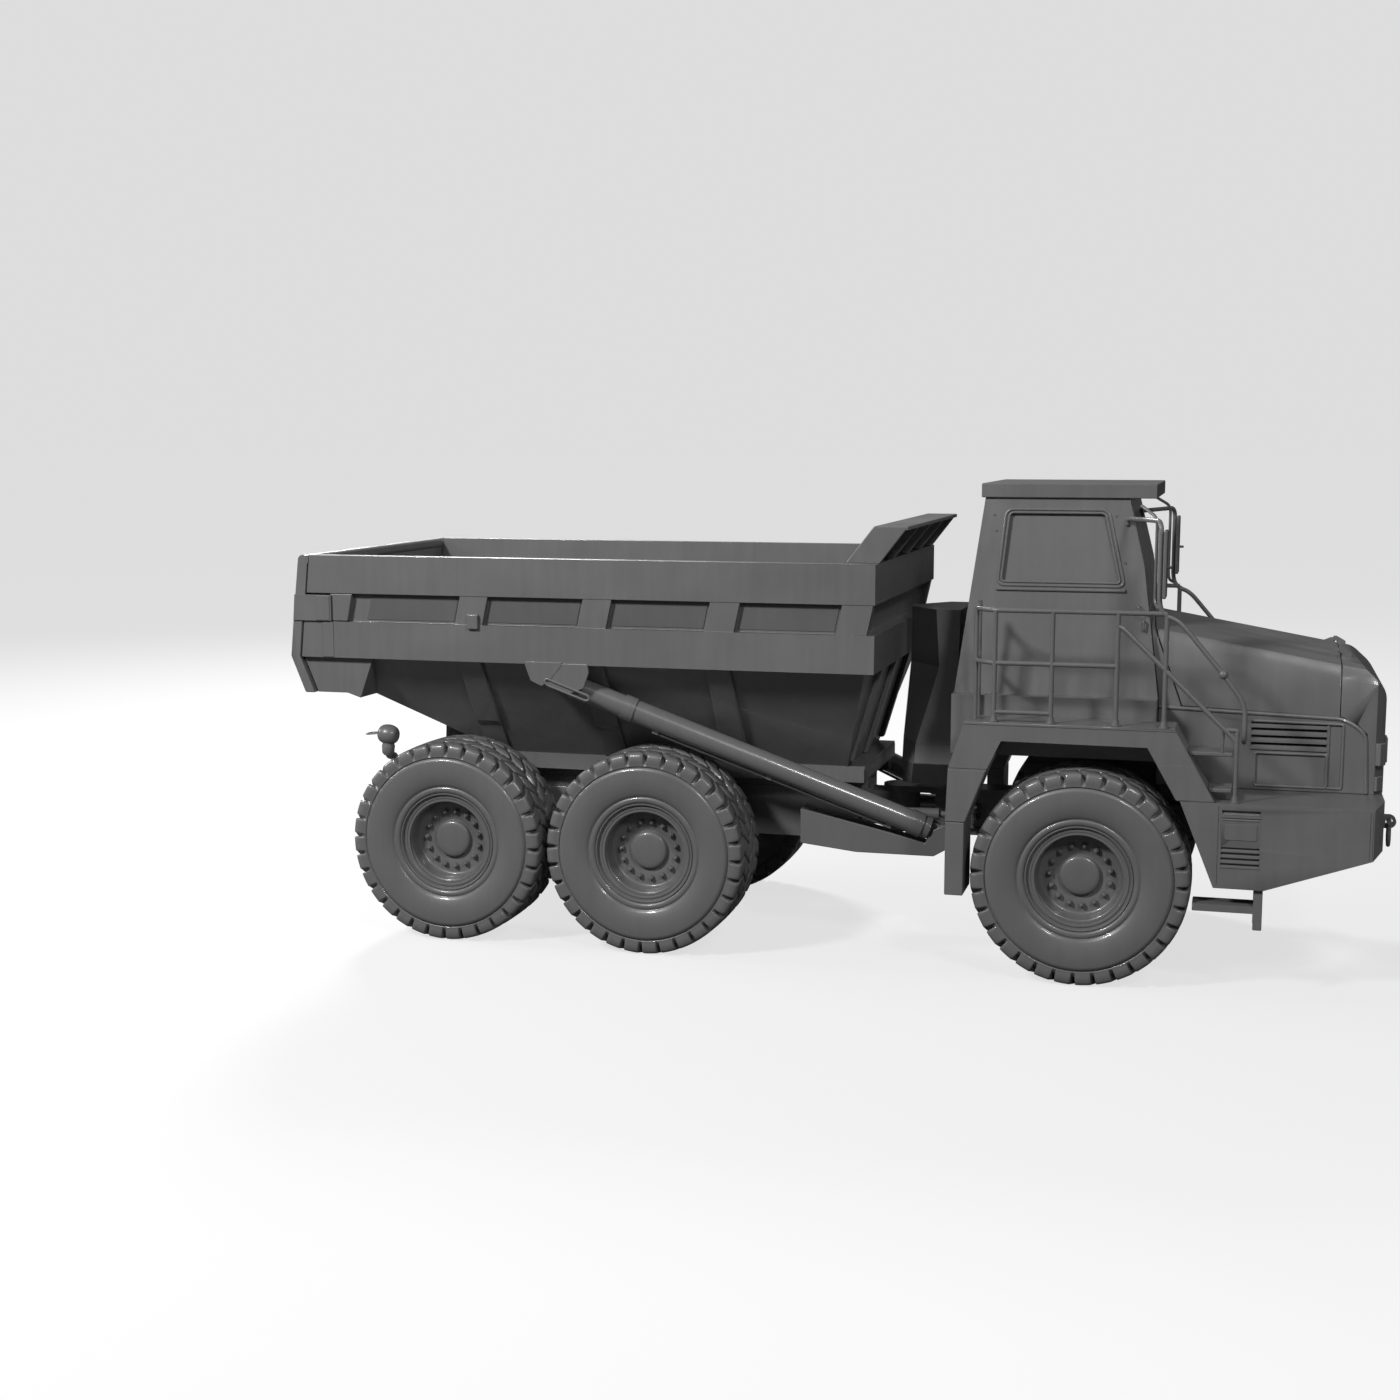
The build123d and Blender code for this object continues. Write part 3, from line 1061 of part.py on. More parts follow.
def nose_face(inset, low):
    """The nose from the side: upright in front, then curved back to the hood's seam."""
    rear, front = HOOD_FRONT + OPEN_GAP - inset, NOSE_FRONT - inset
    curve = [(front - x, z - inset) for x, z in ((0, 2131), (36, 2245), (128, 2340), (220, 2424))]
    with BuildSketch(Plane.XZ, mode=Mode.PRIVATE) as face:
        with BuildLine():
            Polyline((rear, 2468 - inset), (rear, low), (front, low), curve[0])
            Spline(*curve, (rear, 2468 - inset))
        make_face()
    return face.sketch


with BuildPart() as nose_solid:
    extrude(nose_face(0, BUMPER_TOP + FACE_GAP), amount=HOOD_SIDE, both=True)
    add(hood_skin(0, 1400), mode=Mode.INTERSECT)
    with BuildSketch(Plane.XY.offset(1400)):
        with BuildLine():
            cut_x, cut_y = NOSE_FRONT - NOSE_CUT[0], HOOD_SIDE - NOSE_CUT[1]
            Polyline((HOOD_FRONT, -HOOD_SIDE), (cut_x, -HOOD_SIDE), (NOSE_FRONT, -cut_y), (NOSE_FRONT, cut_y),
                     (cut_x, HOOD_SIDE), (HOOD_FRONT, HOOD_SIDE), close=True)
        make_face()
    extrude(amount=1400, mode=Mode.INTERSECT)
with BuildPart() as nose_hollow:
    extrude(nose_face(50, BUMPER_TOP - 50), amount=HOOD_SIDE - 50, both=True)
    add(hood_skin(HOOD_T, 1400), mode=Mode.INTERSECT)
with BuildPart() as nose:
    add(nose_solid.part)
    add(nose_hollow.part, mode=Mode.SUBTRACT)
    panel_end = side_face(FRONT_X, 0, (1700, 1300), (2041, 1300), (2041, 1377), (2020, 1890), (1949, 1960),
                          (1843, 2011), (1700, 2016))
    extrude(panel_end, amount=900, both=True, mode=Mode.SUBTRACT)
    # Hinge lugs and pins for the hood
    for y in HOOD_HINGE_Y:
        for lug_y in (y - 27, y + 27):
            extrude(side_face(HOOD_FRONT, lug_y, (-14, HOOD_PIVOT_Z - 10), (14, HOOD_PIVOT_Z - 24),
                              (14, HOOD_PIVOT_Z - 60), (80, HOOD_PIVOT_Z - 60), (80, HOOD_PIVOT_Z - 24),
                              (14, HOOD_PIVOT_Z + 14), (-10, HOOD_PIVOT_Z + 14)),
                    amount=7 - FACE_GAP, both=True)
        with BuildSketch(Plane.XZ.offset(-y - 30)):
            with Locations((HOOD_FRONT, HOOD_PIVOT_Z)):
                Circle(HINGE_PIN_R)
        extrude(amount=60)
    extrude(cross_face(NOSE_FRONT - 120, (-520, 1560), (520, 1560), (520, 2080), (-520, 2080)), amount=300,
            mode=Mode.SUBTRACT)
save(nose, "nose")

with BuildPart() as grille:
    for n in range(7):
        low = 1575 + n * 72
        extrude(side_face(NOSE_FRONT, 0, (-62, low), (-14, low - 12), (-14, low + 14), (-62, low + 26)),
                amount=520 - FACE_GAP, both=True)
    for y in (-505, -170, 170, 505):
        extrude(side_face(NOSE_FRONT, y, (-75, 1560 + FACE_GAP), (-50, 1560 + FACE_GAP),
                          (-50, 2080 - FACE_GAP), (-75, 2080 - FACE_GAP)), amount=14, both=True)
save(grille, "grille")

# Engine side panels: a vent with slanted bars, and below and ahead of it two sunk panels
with BuildPart() as side_panels:
    vent_x, vent_z, vent_w, vent_h = PANEL_VENT
    panel_low = BUMPER_TOP + FACE_GAP
    bars = 4
    pitch = vent_h / bars
    for hand in (1, -1):
        extrude(side_face(FRONT_X, hand * (HOOD_SIDE - 15), (515, panel_low), (2035, panel_low), (2014, 1884),
                          (1943, 1953), (1840, PANEL_TOP[1]), (515, PANEL_TOP[0])), amount=15, both=True)
        extrude(side_face(vent_x, hand * HOOD_SIDE, (0, vent_z), (vent_w, vent_z), (vent_w, vent_z + vent_h),
                          (0, vent_z + vent_h)), amount=60, both=True, mode=Mode.SUBTRACT)
        for x, width, top in ((vent_x + 35, vent_w - 35, 1722), (vent_x + vent_w + 18, 90, 1952)):
            extrude(side_face(x, hand * HOOD_SIDE, (0, 1478), (width, 1478), (width, top), (0, top)),
                    amount=9, both=True, mode=Mode.SUBTRACT)
        for n in range(bars):
            bar_z = vent_z + (n + 0.55) * pitch
            extrude(vent_bar(vent_x - 5, hand, HOOD_SIDE, bar_z, pitch), amount=vent_w + 10)
save(side_panels, "side_panels")

# Lamps: two on the nose's front, and on each cut corner a lamp box over a small bracket
with BuildPart() as headlamps:
    corner = Vector(NOSE_CUT[1], NOSE_CUT[0]).normalized()
    for hand in (1, -1):
        with BuildSketch(Plane.YZ.offset(NOSE_FRONT + FACE_GAP)):
            with Locations((hand * 610, 1760)):
                Rectangle(150, 190)
        extrude(amount=22)
        seat = (NOSE_FRONT - 50 + FACE_GAP * corner.X, hand * (HOOD_SIDE - 31.4 + FACE_GAP * corner.Y), 0)
        for z, height, depth in ((1741, 168, 44), (1520, 110, 24)):
            with BuildSketch(Plane(origin=seat, x_dir=(0, 0, 1), z_dir=(corner.X, hand * corner.Y, 0))):
                with Locations((z, 0)):
                    Rectangle(height, 84)
            extrude(amount=depth)
save(headlamps, "headlamps")

with BuildPart() as engine_block:
    cross_top = FRAME_TOP - 60 + FACE_GAP
    gearbox_rear = NECK_END + 60 + FACE_GAP - FRONT_X
    extrude(side_face(FRONT_X, 0, (520, cross_top), (1780, cross_top), (1780, 1300), (520, 1300)),
            amount=FRAME_IN - 10, both=True)
    extrude(side_face(FRONT_X, 0, (520, FRAME_TOP + FACE_GAP), (1780, FRAME_TOP + FACE_GAP), (1780, 1960),
                      (520, 1960)), amount=330, both=True)
    extrude(side_face(FRONT_X, 0, (520, cross_top), (520, 1480), (gearbox_rear, 1480), (gearbox_rear, 1060),
                      (480 - FACE_GAP, 1060), (480 - FACE_GAP, cross_top)), amount=FRAME_IN - 20, both=True)
save(engine_block, "engine_block")

# Mirrors on tube frames at the front of each deck
with BuildPart() as mirrors:
    with BuildLine() as path:
        Polyline((FRONT_X + 440, y_out, 2815), (FRONT_X + 440, y_out, CAB_TOP - 140),
                 (FRONT_X + 340, y_out - 150, CAB_TOP + 55),
                 (FRONT_X + 340, ROOF_HALF + FACE_GAP, CAB_TOP + 55))
    with BuildSketch(path.line ^ 0):
        Circle(14)
    sweep(transition=Transition.RIGHT)
    extrude(cross_face(FRONT_X + 460, (y_out - 100, 2860), (y_out + 70, 2860), (y_out + 70, 3400),
                       (y_out - 100, 3400)),
            amount=9, both=True)
    mirror(about=Plane.XZ)
save(mirrors, "mirrors")

# Tail lamps: a bar behind the rear tyres, a stalk that leans forward and a round pod on each
LAMP_Y = 1220.0
with BuildPart() as tail_lamps:
    bar_x = TAIL_FRAME_X - FACE_GAP
    extrude(side_face(bar_x, 0, (-60, 1090), (0, 1090), (0, 1150), (-60, 1150)),
            amount=LAMP_Y + 20, both=True)
    for hand in (1, -1):
        extrude(side_face(bar_x, hand * LAMP_Y, (-60, 1140), (0, 1140), (170, 1360), (250, 1560), (190, 1560),
                          (110, 1380)), amount=20, both=True)
        with BuildSketch(Plane.YZ.offset(bar_x + 150)):
            with Locations((hand * LAMP_Y, 1630)):
                Circle(90)
        extrude(amount=140)
save(tail_lamps, "tail_lamps")
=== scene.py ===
import json
import math

import bmesh
import bpy
import numpy as np
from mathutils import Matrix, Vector


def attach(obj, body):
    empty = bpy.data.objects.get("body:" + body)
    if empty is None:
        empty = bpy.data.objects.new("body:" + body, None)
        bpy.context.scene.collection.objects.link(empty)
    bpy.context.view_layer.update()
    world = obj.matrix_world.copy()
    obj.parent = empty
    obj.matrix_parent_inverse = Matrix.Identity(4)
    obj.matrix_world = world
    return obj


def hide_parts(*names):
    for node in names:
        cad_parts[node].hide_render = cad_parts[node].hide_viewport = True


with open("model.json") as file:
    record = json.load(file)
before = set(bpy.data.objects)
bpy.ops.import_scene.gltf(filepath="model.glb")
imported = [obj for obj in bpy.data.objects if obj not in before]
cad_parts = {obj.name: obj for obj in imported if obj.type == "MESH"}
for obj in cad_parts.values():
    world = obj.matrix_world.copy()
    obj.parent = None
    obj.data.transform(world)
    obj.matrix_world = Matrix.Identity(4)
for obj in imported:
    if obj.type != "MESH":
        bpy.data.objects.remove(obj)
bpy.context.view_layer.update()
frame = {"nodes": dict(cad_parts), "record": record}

BODY_OF = {node: body for body, nodes in frame["record"]["behaviour"]["bodies"].items() for node in nodes}
SLOT_OF = {row["node"]: row["material_slot"] for row in frame["record"]["subparts"]}
SIDES = (("l", 1), ("r", -1))
AXLES = (("front", 2.054), ("mid", -1.316), ("rear", -2.986))
WHEEL_Y, AXLE_Z = 1.15, 0.81
GREY = 0.156


# Camera and light

def look(thing, place, target):
    """Puts a camera or lamp at a place, turned to a target."""
    thing.location = place
    thing.rotation_mode = "QUATERNION"
    thing.rotation_quaternion = (Vector(target) - Vector(place)).to_track_quat("-Z", "Y")


def add_object(name, data):
    """A new object in the scene."""
    thing = bpy.data.objects.new(name, data)
    bpy.context.scene.collection.objects.link(thing)
    return thing


camera = add_object("camera", bpy.data.cameras.new("camera"))
camera.data.lens, camera.data.sensor_width = 50, 36
EYE = Vector((3.126, -15.741, 4.053))
YAW, PITCH = 0.2709, 0.1341
AHEAD = Vector((-math.sin(YAW) * math.cos(PITCH), math.cos(YAW) * math.cos(PITCH), -math.sin(PITCH)))
look(camera, EYE, EYE + AHEAD)
bpy.context.scene.camera = camera

LAMPS = (
    # name, place, aim, size in metres, power in watts
    ("key", (-11.0, -16.0, 15.5), (0.0, 0.0, 1.6), 3.0, 3900.0),
    ("front_key", (10.0, -15.0, 14.0), (1.0, 0.0, 1.6), 3.0, 1200.0),
    ("rear_key", (-17.0, -1.0, 9.0), (-2.0, 0.0, 2.0), 4.0, 1100.0),
    ("back_key", (-10.0, 15.0, 14.0), (0.0, 0.0, 1.6), 4.0, 3800.0),
)
for lamp_name, lamp_place, lamp_aim, lamp_size, lamp_power in LAMPS:
    lamp = add_object(lamp_name, bpy.data.lights.new(lamp_name, "AREA"))
    lamp.data.size, lamp.data.energy = lamp_size, lamp_power
    look(lamp, lamp_place, lamp_aim)


def seen_only(tree, seen, unseen):
    """Joins two shaders: the first for what the camera sees, the second for the light that reaches the
    truck."""
    path = tree.nodes.new("ShaderNodeLightPath")
    mix = tree.nodes.new("ShaderNodeMixShader")
    tree.links.new(path.outputs["Is Camera Ray"], mix.inputs[0])
    tree.links.new(unseen, mix.inputs[1])
    tree.links.new(seen, mix.inputs[2])
    return mix.outputs[0]


PALE = 0.725
world = bpy.data.worlds.new("studio")
bpy.context.scene.world = world
world.use_nodes = True
world_tree = world.node_tree
soft_light = world_tree.nodes["Background"]
backdrop = world_tree.nodes.new("ShaderNodeBackground")
for light, level, strength in ((soft_light, 0.80, 0.13), (backdrop, PALE, 1.0)):
    light.inputs["Color"].default_value = (level, level, level, 1)
    light.inputs["Strength"].default_value = strength
world_tree.links.new(seen_only(world_tree, backdrop.outputs[0], soft_light.outputs[0]),
                     world_tree.nodes["World Output"].inputs["Surface"])
bpy.context.scene.view_settings.view_transform = "Standard"


# Materials

class Wire:
    """One output of a shader node. Sums, differences and products of wires and numbers add Math nodes."""

    def __init__(self, finish, socket):
        self.finish, self.socket = finish, socket

    def _math(self, operation, a, b):
        return self.finish.add("ShaderNodeMath", {"operation": operation}, {0: a, 1: b})

    def __add__(self, other):
        return self._math("ADD", self, other)

    def __sub__(self, other):
        return self._math("SUBTRACT", self, other)

    def __rsub__(self, other):
        return self._math("SUBTRACT", other, self)

    def __mul__(self, other):
        return self._math("MULTIPLY", self, other)

    __radd__, __rmul__ = __add__, __mul__


class Finish:
    """A material in the making. add() takes a node's type, its settings, then values or wires for its
    sockets."""

    def __init__(self, name):
        self.material = bpy.data.materials.new(name)
        self.material.use_nodes = True
        self.nodes, self.links = self.material.node_tree.nodes, self.material.node_tree.links
        self.shader = self.nodes["Principled BSDF"]

    def add(self, kind, settings=None, sockets=None, out=0):
        node = self.nodes.new(kind)
        for key, value in (settings or {}).items():
            setattr(node, key, value)
        for key, value in (sockets or {}).items():
            self.put(node.inputs[key], value)
        return Wire(self, node.outputs[out])

    def put(self, socket, value):
        if isinstance(value, Wire):
            self.links.new(value.socket, socket)
        else:
            socket.default_value = value

    def shade(self, **values):
        for key, value in values.items():
            self.put(self.shader.inputs[key.replace("_", " ")], value)


def grey_finish(name, tone, gloss, dent, grain, grain_size=55.0, streak=0.05, coat=0.0):
    """Plain grey, varied a little: broad patches and slanted brush strokes in the colour and gloss,
    soft dents a hand wide and a fine grain in the relief. Dent and grain are depths in metres."""
    finish = Finish(name)
    place = finish.add("ShaderNodeTexCoord", out="Object")
    broad = finish.add("ShaderNodeTexNoise", {}, {"Vector": place, "Scale": 1.7, "Detail": 3.0})
    turned = finish.add("ShaderNodeMapping", {}, {"Vector": place, "Rotation": (0.5, 0.9, 0.4),
                                                  "Scale": (14.0, 14.0, 1.1)})
    strokes = finish.add("ShaderNodeTexNoise", {}, {"Vector": turned, "Scale": 1.3, "Detail": 4.0})
    dents = finish.add("ShaderNodeTexNoise", {}, {"Vector": place, "Scale": 2.6, "Detail": 1.0})
    fine = finish.add("ShaderNodeTexNoise", {}, {"Vector": place, "Scale": grain_size, "Detail": 5.0})
    amount = broad * 0.55 + strokes * 0.45
    dark, light = tone * (1 - 3 * streak), tone * (1 + 3 * streak)
    colour = finish.add("ShaderNodeMix", {"data_type": "RGBA"},
                        {0: amount, 6: (dark, dark, dark, 1), 7: (light, light, light, 1)}, out=2)
    relief = dents * dent + strokes * (grain * 0.6) + fine * grain
    bump = finish.add("ShaderNodeBump", {}, {"Strength": 1.0, "Distance": 1.0, "Height": relief})
    roughness = (broad - 0.5) * 0.16 + (strokes - 0.5) * 0.10 + gloss
    finish.shade(Base_Color=colour, Roughness=roughness, Normal=bump, Coat_Weight=coat)
    return finish.material


# One finish for each slot of the record, and one more for the bed's sunk panels, a darker grey that paints in
# their shade
FINISHES = {
    "body_paint": grey_finish("grey_panel_paint", GREY, 0.34, 0.012, 0.0006, streak=0.07, coat=0.2),
    "frame_paint": grey_finish("grey_frame_paint", GREY * 0.94, 0.36, 0.006, 0.0012, 38.0, coat=0.2),
    "cylinder_paint": grey_finish("grey_cylinder_paint", GREY * 1.02, 0.30, 0.004, 0.0008, 46.0, coat=0.5),
    "rod_chrome": grey_finish("grey_rod", GREY * 1.05, 0.26, 0.0, 0.0002, 90.0, coat=0.2),
    "tyre": grey_finish("grey_tyre_rubber", GREY * 0.92, 0.36, 0.005, 0.0009, 70.0, coat=0.3),
    "rim_paint": grey_finish("grey_rim_paint", GREY * 0.90, 0.36, 0.003, 0.0008, 48.0, coat=0.3),
    "window_glass": grey_finish("grey_window", GREY * 0.98, 0.42, 0.004, 0.0001, 80.0, streak=0.03),
    "flap_rubber": grey_finish("grey_flap_rubber", GREY * 0.97, 0.50, 0.008, 0.0010, 60.0),
    "trim_plastic": grey_finish("grey_plastic", GREY * 0.96, 0.36, 0.0, 0.0006, 90.0, coat=0.3),
    "engine_iron": grey_finish("grey_cast_iron", GREY * 0.85, 0.58, 0.004, 0.0020, 42.0),
    "lamp_lens": grey_finish("grey_lens", GREY * 1.10, 0.22, 0.0, 0.0001, 60.0, coat=0.3),
    # painted shade: a darker grey for plates in the bed's sunk panels, standing in for the shadow of the top
    # rail and the posts
    "painted_recess_shade": grey_finish("grey_painted_recess_shade", GREY * 0.74, 0.42, 0.006, 0.0008),
}


def place_piece(thing, node, *replaced, finish=None):
    """Gives a piece the finish of its CAD node's slot or a named one, and the node's body, and hides the
    nodes it stands for.
    """
    thing.data.materials.clear()
    thing.data.materials.append(FINISHES[finish or SLOT_OF[node]])
    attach(thing, BODY_OF[node])
    if replaced:
        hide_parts(*replaced)
    return thing


# Meshes

def mesh_piece(name, points, faces, smooth=True):
    """An object from arrays of points and lists of faces."""
    mesh = bpy.data.meshes.new(name)
    mesh.from_pydata(np.asarray(points, float).tolist(), [], [list(face) for face in faces])
    mesh.polygons.foreach_set("use_smooth", np.full(len(mesh.polygons), smooth))
    mesh.validate()
    mesh.update()
    return add_object(name, mesh)


def grid_faces(rows, columns, wrap_rows=False, start=0):
    """Faces between neighbouring points of a grid numbered row by row. Each row is joined end to end, and
    the last row to the first where the rows wrap."""
    r = np.arange(rows if wrap_rows else rows - 1)
    row, column = (a.ravel() for a in np.meshgrid(r, np.arange(columns), indexing="ij"))
    row2, column2 = (row + 1) % rows, (column + 1) % columns
    return start + np.stack([row * columns + column, row * columns + column2, row2 * columns + column2,
                             row2 * columns + column], axis=1)


FLAT, SHALLOW = math.radians(0.6), math.radians(6)
TIP_PIN_X, TIP_PIN_Z, TIP_BORE_R, TIP_BORE_ROOM = -3.286, 1.380, 0.045, 0.0015


def flat_disc_edges(work, wide):
    """The edges inside each flat patch of faces that has one outline. A patch with a hole keeps all of its
    edges: it is told by its points less its edges plus its faces, which come to 1 on a patch without one.
    Faces of a patch of more than two are marked wide. The edges come in the order in which they are met,
    so each run gives the same copy."""
    seen, inner = set(), []
    for first in work.faces:
        if first in seen:
            continue
        seen.add(first)
        patch, inside = [first], {}
        for face in patch:
            for edge in face.edges:
                if edge.calc_face_angle(1.0) < FLAT:
                    inside[edge] = True
                    for other in edge.link_faces:
                        if other not in seen:
                            seen.add(other)
                            patch.append(other)
        points = {vertex for face in patch for vertex in face.verts}
        edges = {edge for face in patch for edge in face.edges}
        if len(points) - len(edges) + len(patch) == 1:
            inner.extend(inside)
        for face in patch:
            face[wide] = int(len(patch) > 2)
    return inner


def ease_bore(mesh, x, z, radius, room):
    """Moves the points of a bore along Y outwards by a little room, because its pin's flat facets would
    cross them."""
    place = np.empty(3 * len(mesh.vertices))
    mesh.vertices.foreach_get("co", place)
    place = place.reshape(-1, 3)
    away = place[:, ::2] - (x, z)
    far = np.linalg.norm(away, axis=1)
    wall = np.abs(far - radius) < 0.002
    place[wall, ::2] += away[wall] / far[wall, None] * room
    mesh.vertices.foreach_set("co", place.ravel())


def softened(node, width=0.008, steps=2, sharp=28, crisp=True):
    """A copy of a CAD node with its flat faces joined and its longer edges rounded. Faces with an inward
    corner are divided again, because rounding can tangle them. An edge takes the whole width where the edges
    beside it are more than twice as long, and stays sharp where they aren't. A crisp copy also keeps the
    shallow edges of its wide faces sharp."""
    mesh = frame["nodes"][node].data.copy()
    if node == "bed_shell":
        ease_bore(mesh, TIP_PIN_X, TIP_PIN_Z, TIP_BORE_R, TIP_BORE_ROOM)
    work = bmesh.new()
    work.from_mesh(mesh)
    bmesh.ops.remove_doubles(work, verts=work.verts, dist=0.00002)
    wide = work.faces.layers.int.new("wide")
    bmesh.ops.dissolve_limit(work, angle_limit=FLAT, verts=work.verts, edges=flat_disc_edges(work, wide))
    bmesh.ops.triangulate(work, faces=[face for face in work.faces if len(face.verts) > 4
                                       and not all(loop.is_convex for loop in face.loops)])
    weight = work.edges.layers.float.new("bevel_weight_edge")
    limit = math.radians(sharp)
    for edge in work.edges:
        turn = edge.calc_face_angle(0.0)
        kept = crisp and turn > SHALLOW and any(face[wide] for face in edge.link_faces)
        edge.smooth = turn < limit and not kept
        near = [other.calc_length() for vertex in edge.verts for other in vertex.link_edges]
        edge[weight] = 1.0 if turn > limit and min(near) > 2.2 * width else 0.0
    for face in work.faces:
        face.smooth = True
    work.to_mesh(mesh)
    work.free()
    piece = add_object(node + "_soft", mesh)
    bevel = piece.modifiers.new("soft_edges", "BEVEL")
    bevel.width, bevel.segments, bevel.limit_method = width, steps, "WEIGHT"
    bevel.use_clamp_overlap, bevel.harden_normals = True, True
    place_piece(piece, node, node)


# Wheels

LUGS = 32
TREAD_ROWS = (
    # lug y, lug r, groove y, groove r, lean of the groove in pitches
    (0.016, 0.768, 0.016, 0.768, 0.50), (0.022, 0.805, 0.018, 0.768, 0.50),
    (0.029, 0.810, 0.029, 0.766, 0.46), (0.085, 0.810, 0.085, 0.765, 0.16),
    (0.134, 0.8085, 0.134, 0.763, -0.11), (0.140, 0.802, 0.140, 0.763, -0.13),
    (0.143, 0.778, 0.143, 0.762, -0.14), (0.151, 0.778, 0.151, 0.762, -0.18),
    (0.154, 0.801, 0.154, 0.762, -0.19), (0.160, 0.8075, 0.160, 0.761, -0.22),
    (0.190, 0.807, 0.188, 0.760, -0.36), (0.220, 0.8065, 0.214, 0.758, -0.20),
    (0.250, 0.805, 0.240, 0.754, -0.04), (0.270, 0.802, 0.252, 0.748, 0.0),
    (0.283, 0.794, 0.262, 0.740, 0.0), (0.2905, 0.779, 0.270, 0.731, 0.0),
    (0.2945, 0.757, 0.277, 0.722, 0.0), (0.2955, 0.739, 0.283, 0.715, 0.0),
    (0.2925, 0.722, 0.288, 0.708, 0.0),
)
WALL_ROWS = (
    # y, r: the ring line, the bulge, the bead's lip and the bead
    (0.2905, 0.7035), (0.2905, 0.6965), (0.2810, 0.6950), (0.2810, 0.6900), (0.2925, 0.6880),
    (0.2970, 0.6600), (0.2998, 0.6150), (0.2985, 0.5700), (0.2915, 0.5230), (0.2790, 0.4800),
    (0.2680, 0.4580), (0.2600, 0.4520), (0.2660, 0.4460), (0.2700, 0.4360), (0.2690, 0.4210),
    (0.2640, 0.4090), (0.2560, 0.4025), (0.2500, 0.4005), (0.2347, 0.4005), (0.2347, 0.3305),
)
LUG_STEPS = (
    # place within a pitch, height from the groove (0) to the lug (1)
    (0.00, 1.0), (0.030, 0.90), (0.055, 0.12), (0.080, 0.0), (0.215, 0.0), (0.240, 0.12),
    (0.265, 0.90), (0.295, 1.0), (0.40, 1.0), (0.54, 1.0), (0.70, 1.0), (0.85, 1.0),
)


def make_tyre(axle, x, side, hand):
    """A tyre as one closed grid. Columns go round in steps of a lug's pitch, rows go across from bead to
    bead. A point lies between the groove's section and the lug's section by its column's height, and its
    angle is its column's plus its row's lean, so the grooves run in chevrons. The two halves are half a
    pitch apart."""
    rows = np.array(TREAD_ROWS + tuple((y, r, y, r, 0.0) for y, r in WALL_ROWS))
    half = np.concatenate([rows[::-1] * (-1, 1, -1, 1, 1), rows])
    lean = half[:, 4] + np.where(np.arange(len(half)) < len(rows), -0.5, 0.0)
    steps = np.array(LUG_STEPS)
    height = np.tile(steps[:, 1], LUGS)[None, :]
    column = (np.arange(LUGS)[:, None] + steps[:, 0]).ravel()
    angle = (column[None, :] + lean[:, None]) * (2 * math.pi / LUGS)
    y = half[:, 2:3] + (half[:, 0:1] - half[:, 2:3]) * height
    r = half[:, 3:4] + (half[:, 1:2] - half[:, 3:4]) * height
    points = np.stack([x + r * np.sin(angle), hand * (WHEEL_Y + y), AXLE_Z + r * np.cos(angle)], axis=-1)
    faces = grid_faces(angle.shape[0], angle.shape[1], wrap_rows=True)
    node = f"{axle}_tyre_{side}"
    place_piece(mesh_piece(node + "_tread", points.reshape(-1, 3), faces[:, ::hand]), node, node)


RIM_PROFILE = (
    # along the axle from the wheel's middle, r: the hub cap's low dome
    (0.1420, 0.0), (0.1417, 0.030), (0.1407, 0.070), (0.1385, 0.105), (0.1350, 0.128),
    (0.1300, 0.1405), (0.1230, 0.1475), (0.1140, 0.1500), (0.1000, 0.1505), (0.0950, 0.1530),
    (0.0935, 0.1575), (0.0945, 0.1630), (0.0970, 0.1680),
    # the flat disc with the nuts, and the dish
    (0.0970, 0.2780), (0.0985, 0.2880), (0.1040, 0.2970), (0.1130, 0.3040), (0.1250, 0.3080),
    (0.1700, 0.3130), (0.2050, 0.3180), (0.2150, 0.3210), (0.2190, 0.3260), (0.2200, 0.3330),
    (0.2185, 0.3370),
    # two split rings and the flange's lip
    (0.2120, 0.3390), (0.2040, 0.3395), (0.2040, 0.3430), (0.2180, 0.3445), (0.2330, 0.3470),
    (0.2400, 0.3540), (0.2410, 0.3660), (0.2360, 0.3720), (0.2280, 0.3740), (0.2280, 0.3780),
    (0.2420, 0.3800), (0.2540, 0.3830), (0.2600, 0.3890), (0.2605, 0.3950), (0.2560, 0.3990),
    (0.2480, 0.3998), (0.2350, 0.3998),
    # the barrel, the inner flange, and back through the spindle's bore
    (0.2350, 0.3300), (-0.2350, 0.3300), (-0.2350, 0.4000), (-0.2610, 0.4000), (-0.2610, 0.3780),
    (-0.2350, 0.3050), (0.0300, 0.3050), (0.0300, 0.1350), (-0.1100, 0.1350), (-0.1100, 0.0901),
    (0.0430, 0.0901), (0.0430, 0.0),
)
RIM_COUNT = 96


def close_up(piece, sharp):
    """Merges a mesh's doubles, marks its sharp edges and turns its faces outwards."""
    work = bmesh.new()
    work.from_mesh(piece.data)
    bmesh.ops.remove_doubles(work, verts=work.verts, dist=0.00001)
    bmesh.ops.dissolve_degenerate(work, edges=work.edges, dist=0.000001)
    bmesh.ops.recalc_face_normals(work, faces=work.faces)
    for edge in work.edges:
        edge.smooth = edge.calc_face_angle(0.0) < math.radians(sharp)
    work.to_mesh(piece.data)
    work.free()


def make_rim(axle, x, side, hand):
    """The rim: a profile of pairs (distance along the axle, radius) turned about the axle. A point at the
    turn u stands off the axle by the radius times the sine of u along X and times its cosine along Z. The
    two poles are merged."""
    rows = np.array(RIM_PROFILE)
    angle = np.arange(RIM_COUNT) * 2 * math.pi / RIM_COUNT
    r, along = rows[:, 1:2], rows[:, 0:1] + 0 * angle
    points = np.stack([x + r * np.sin(angle), hand * (WHEEL_Y + along), AXLE_Z + r * np.cos(angle)], axis=-1)
    node = f"{axle}_rim_{side}"
    piece = mesh_piece(node + "_dish", points.reshape(-1, 3), grid_faces(len(rows), RIM_COUNT)[:, ::-hand])
    close_up(piece, sharp=32)
    place_piece(piece, node, node)


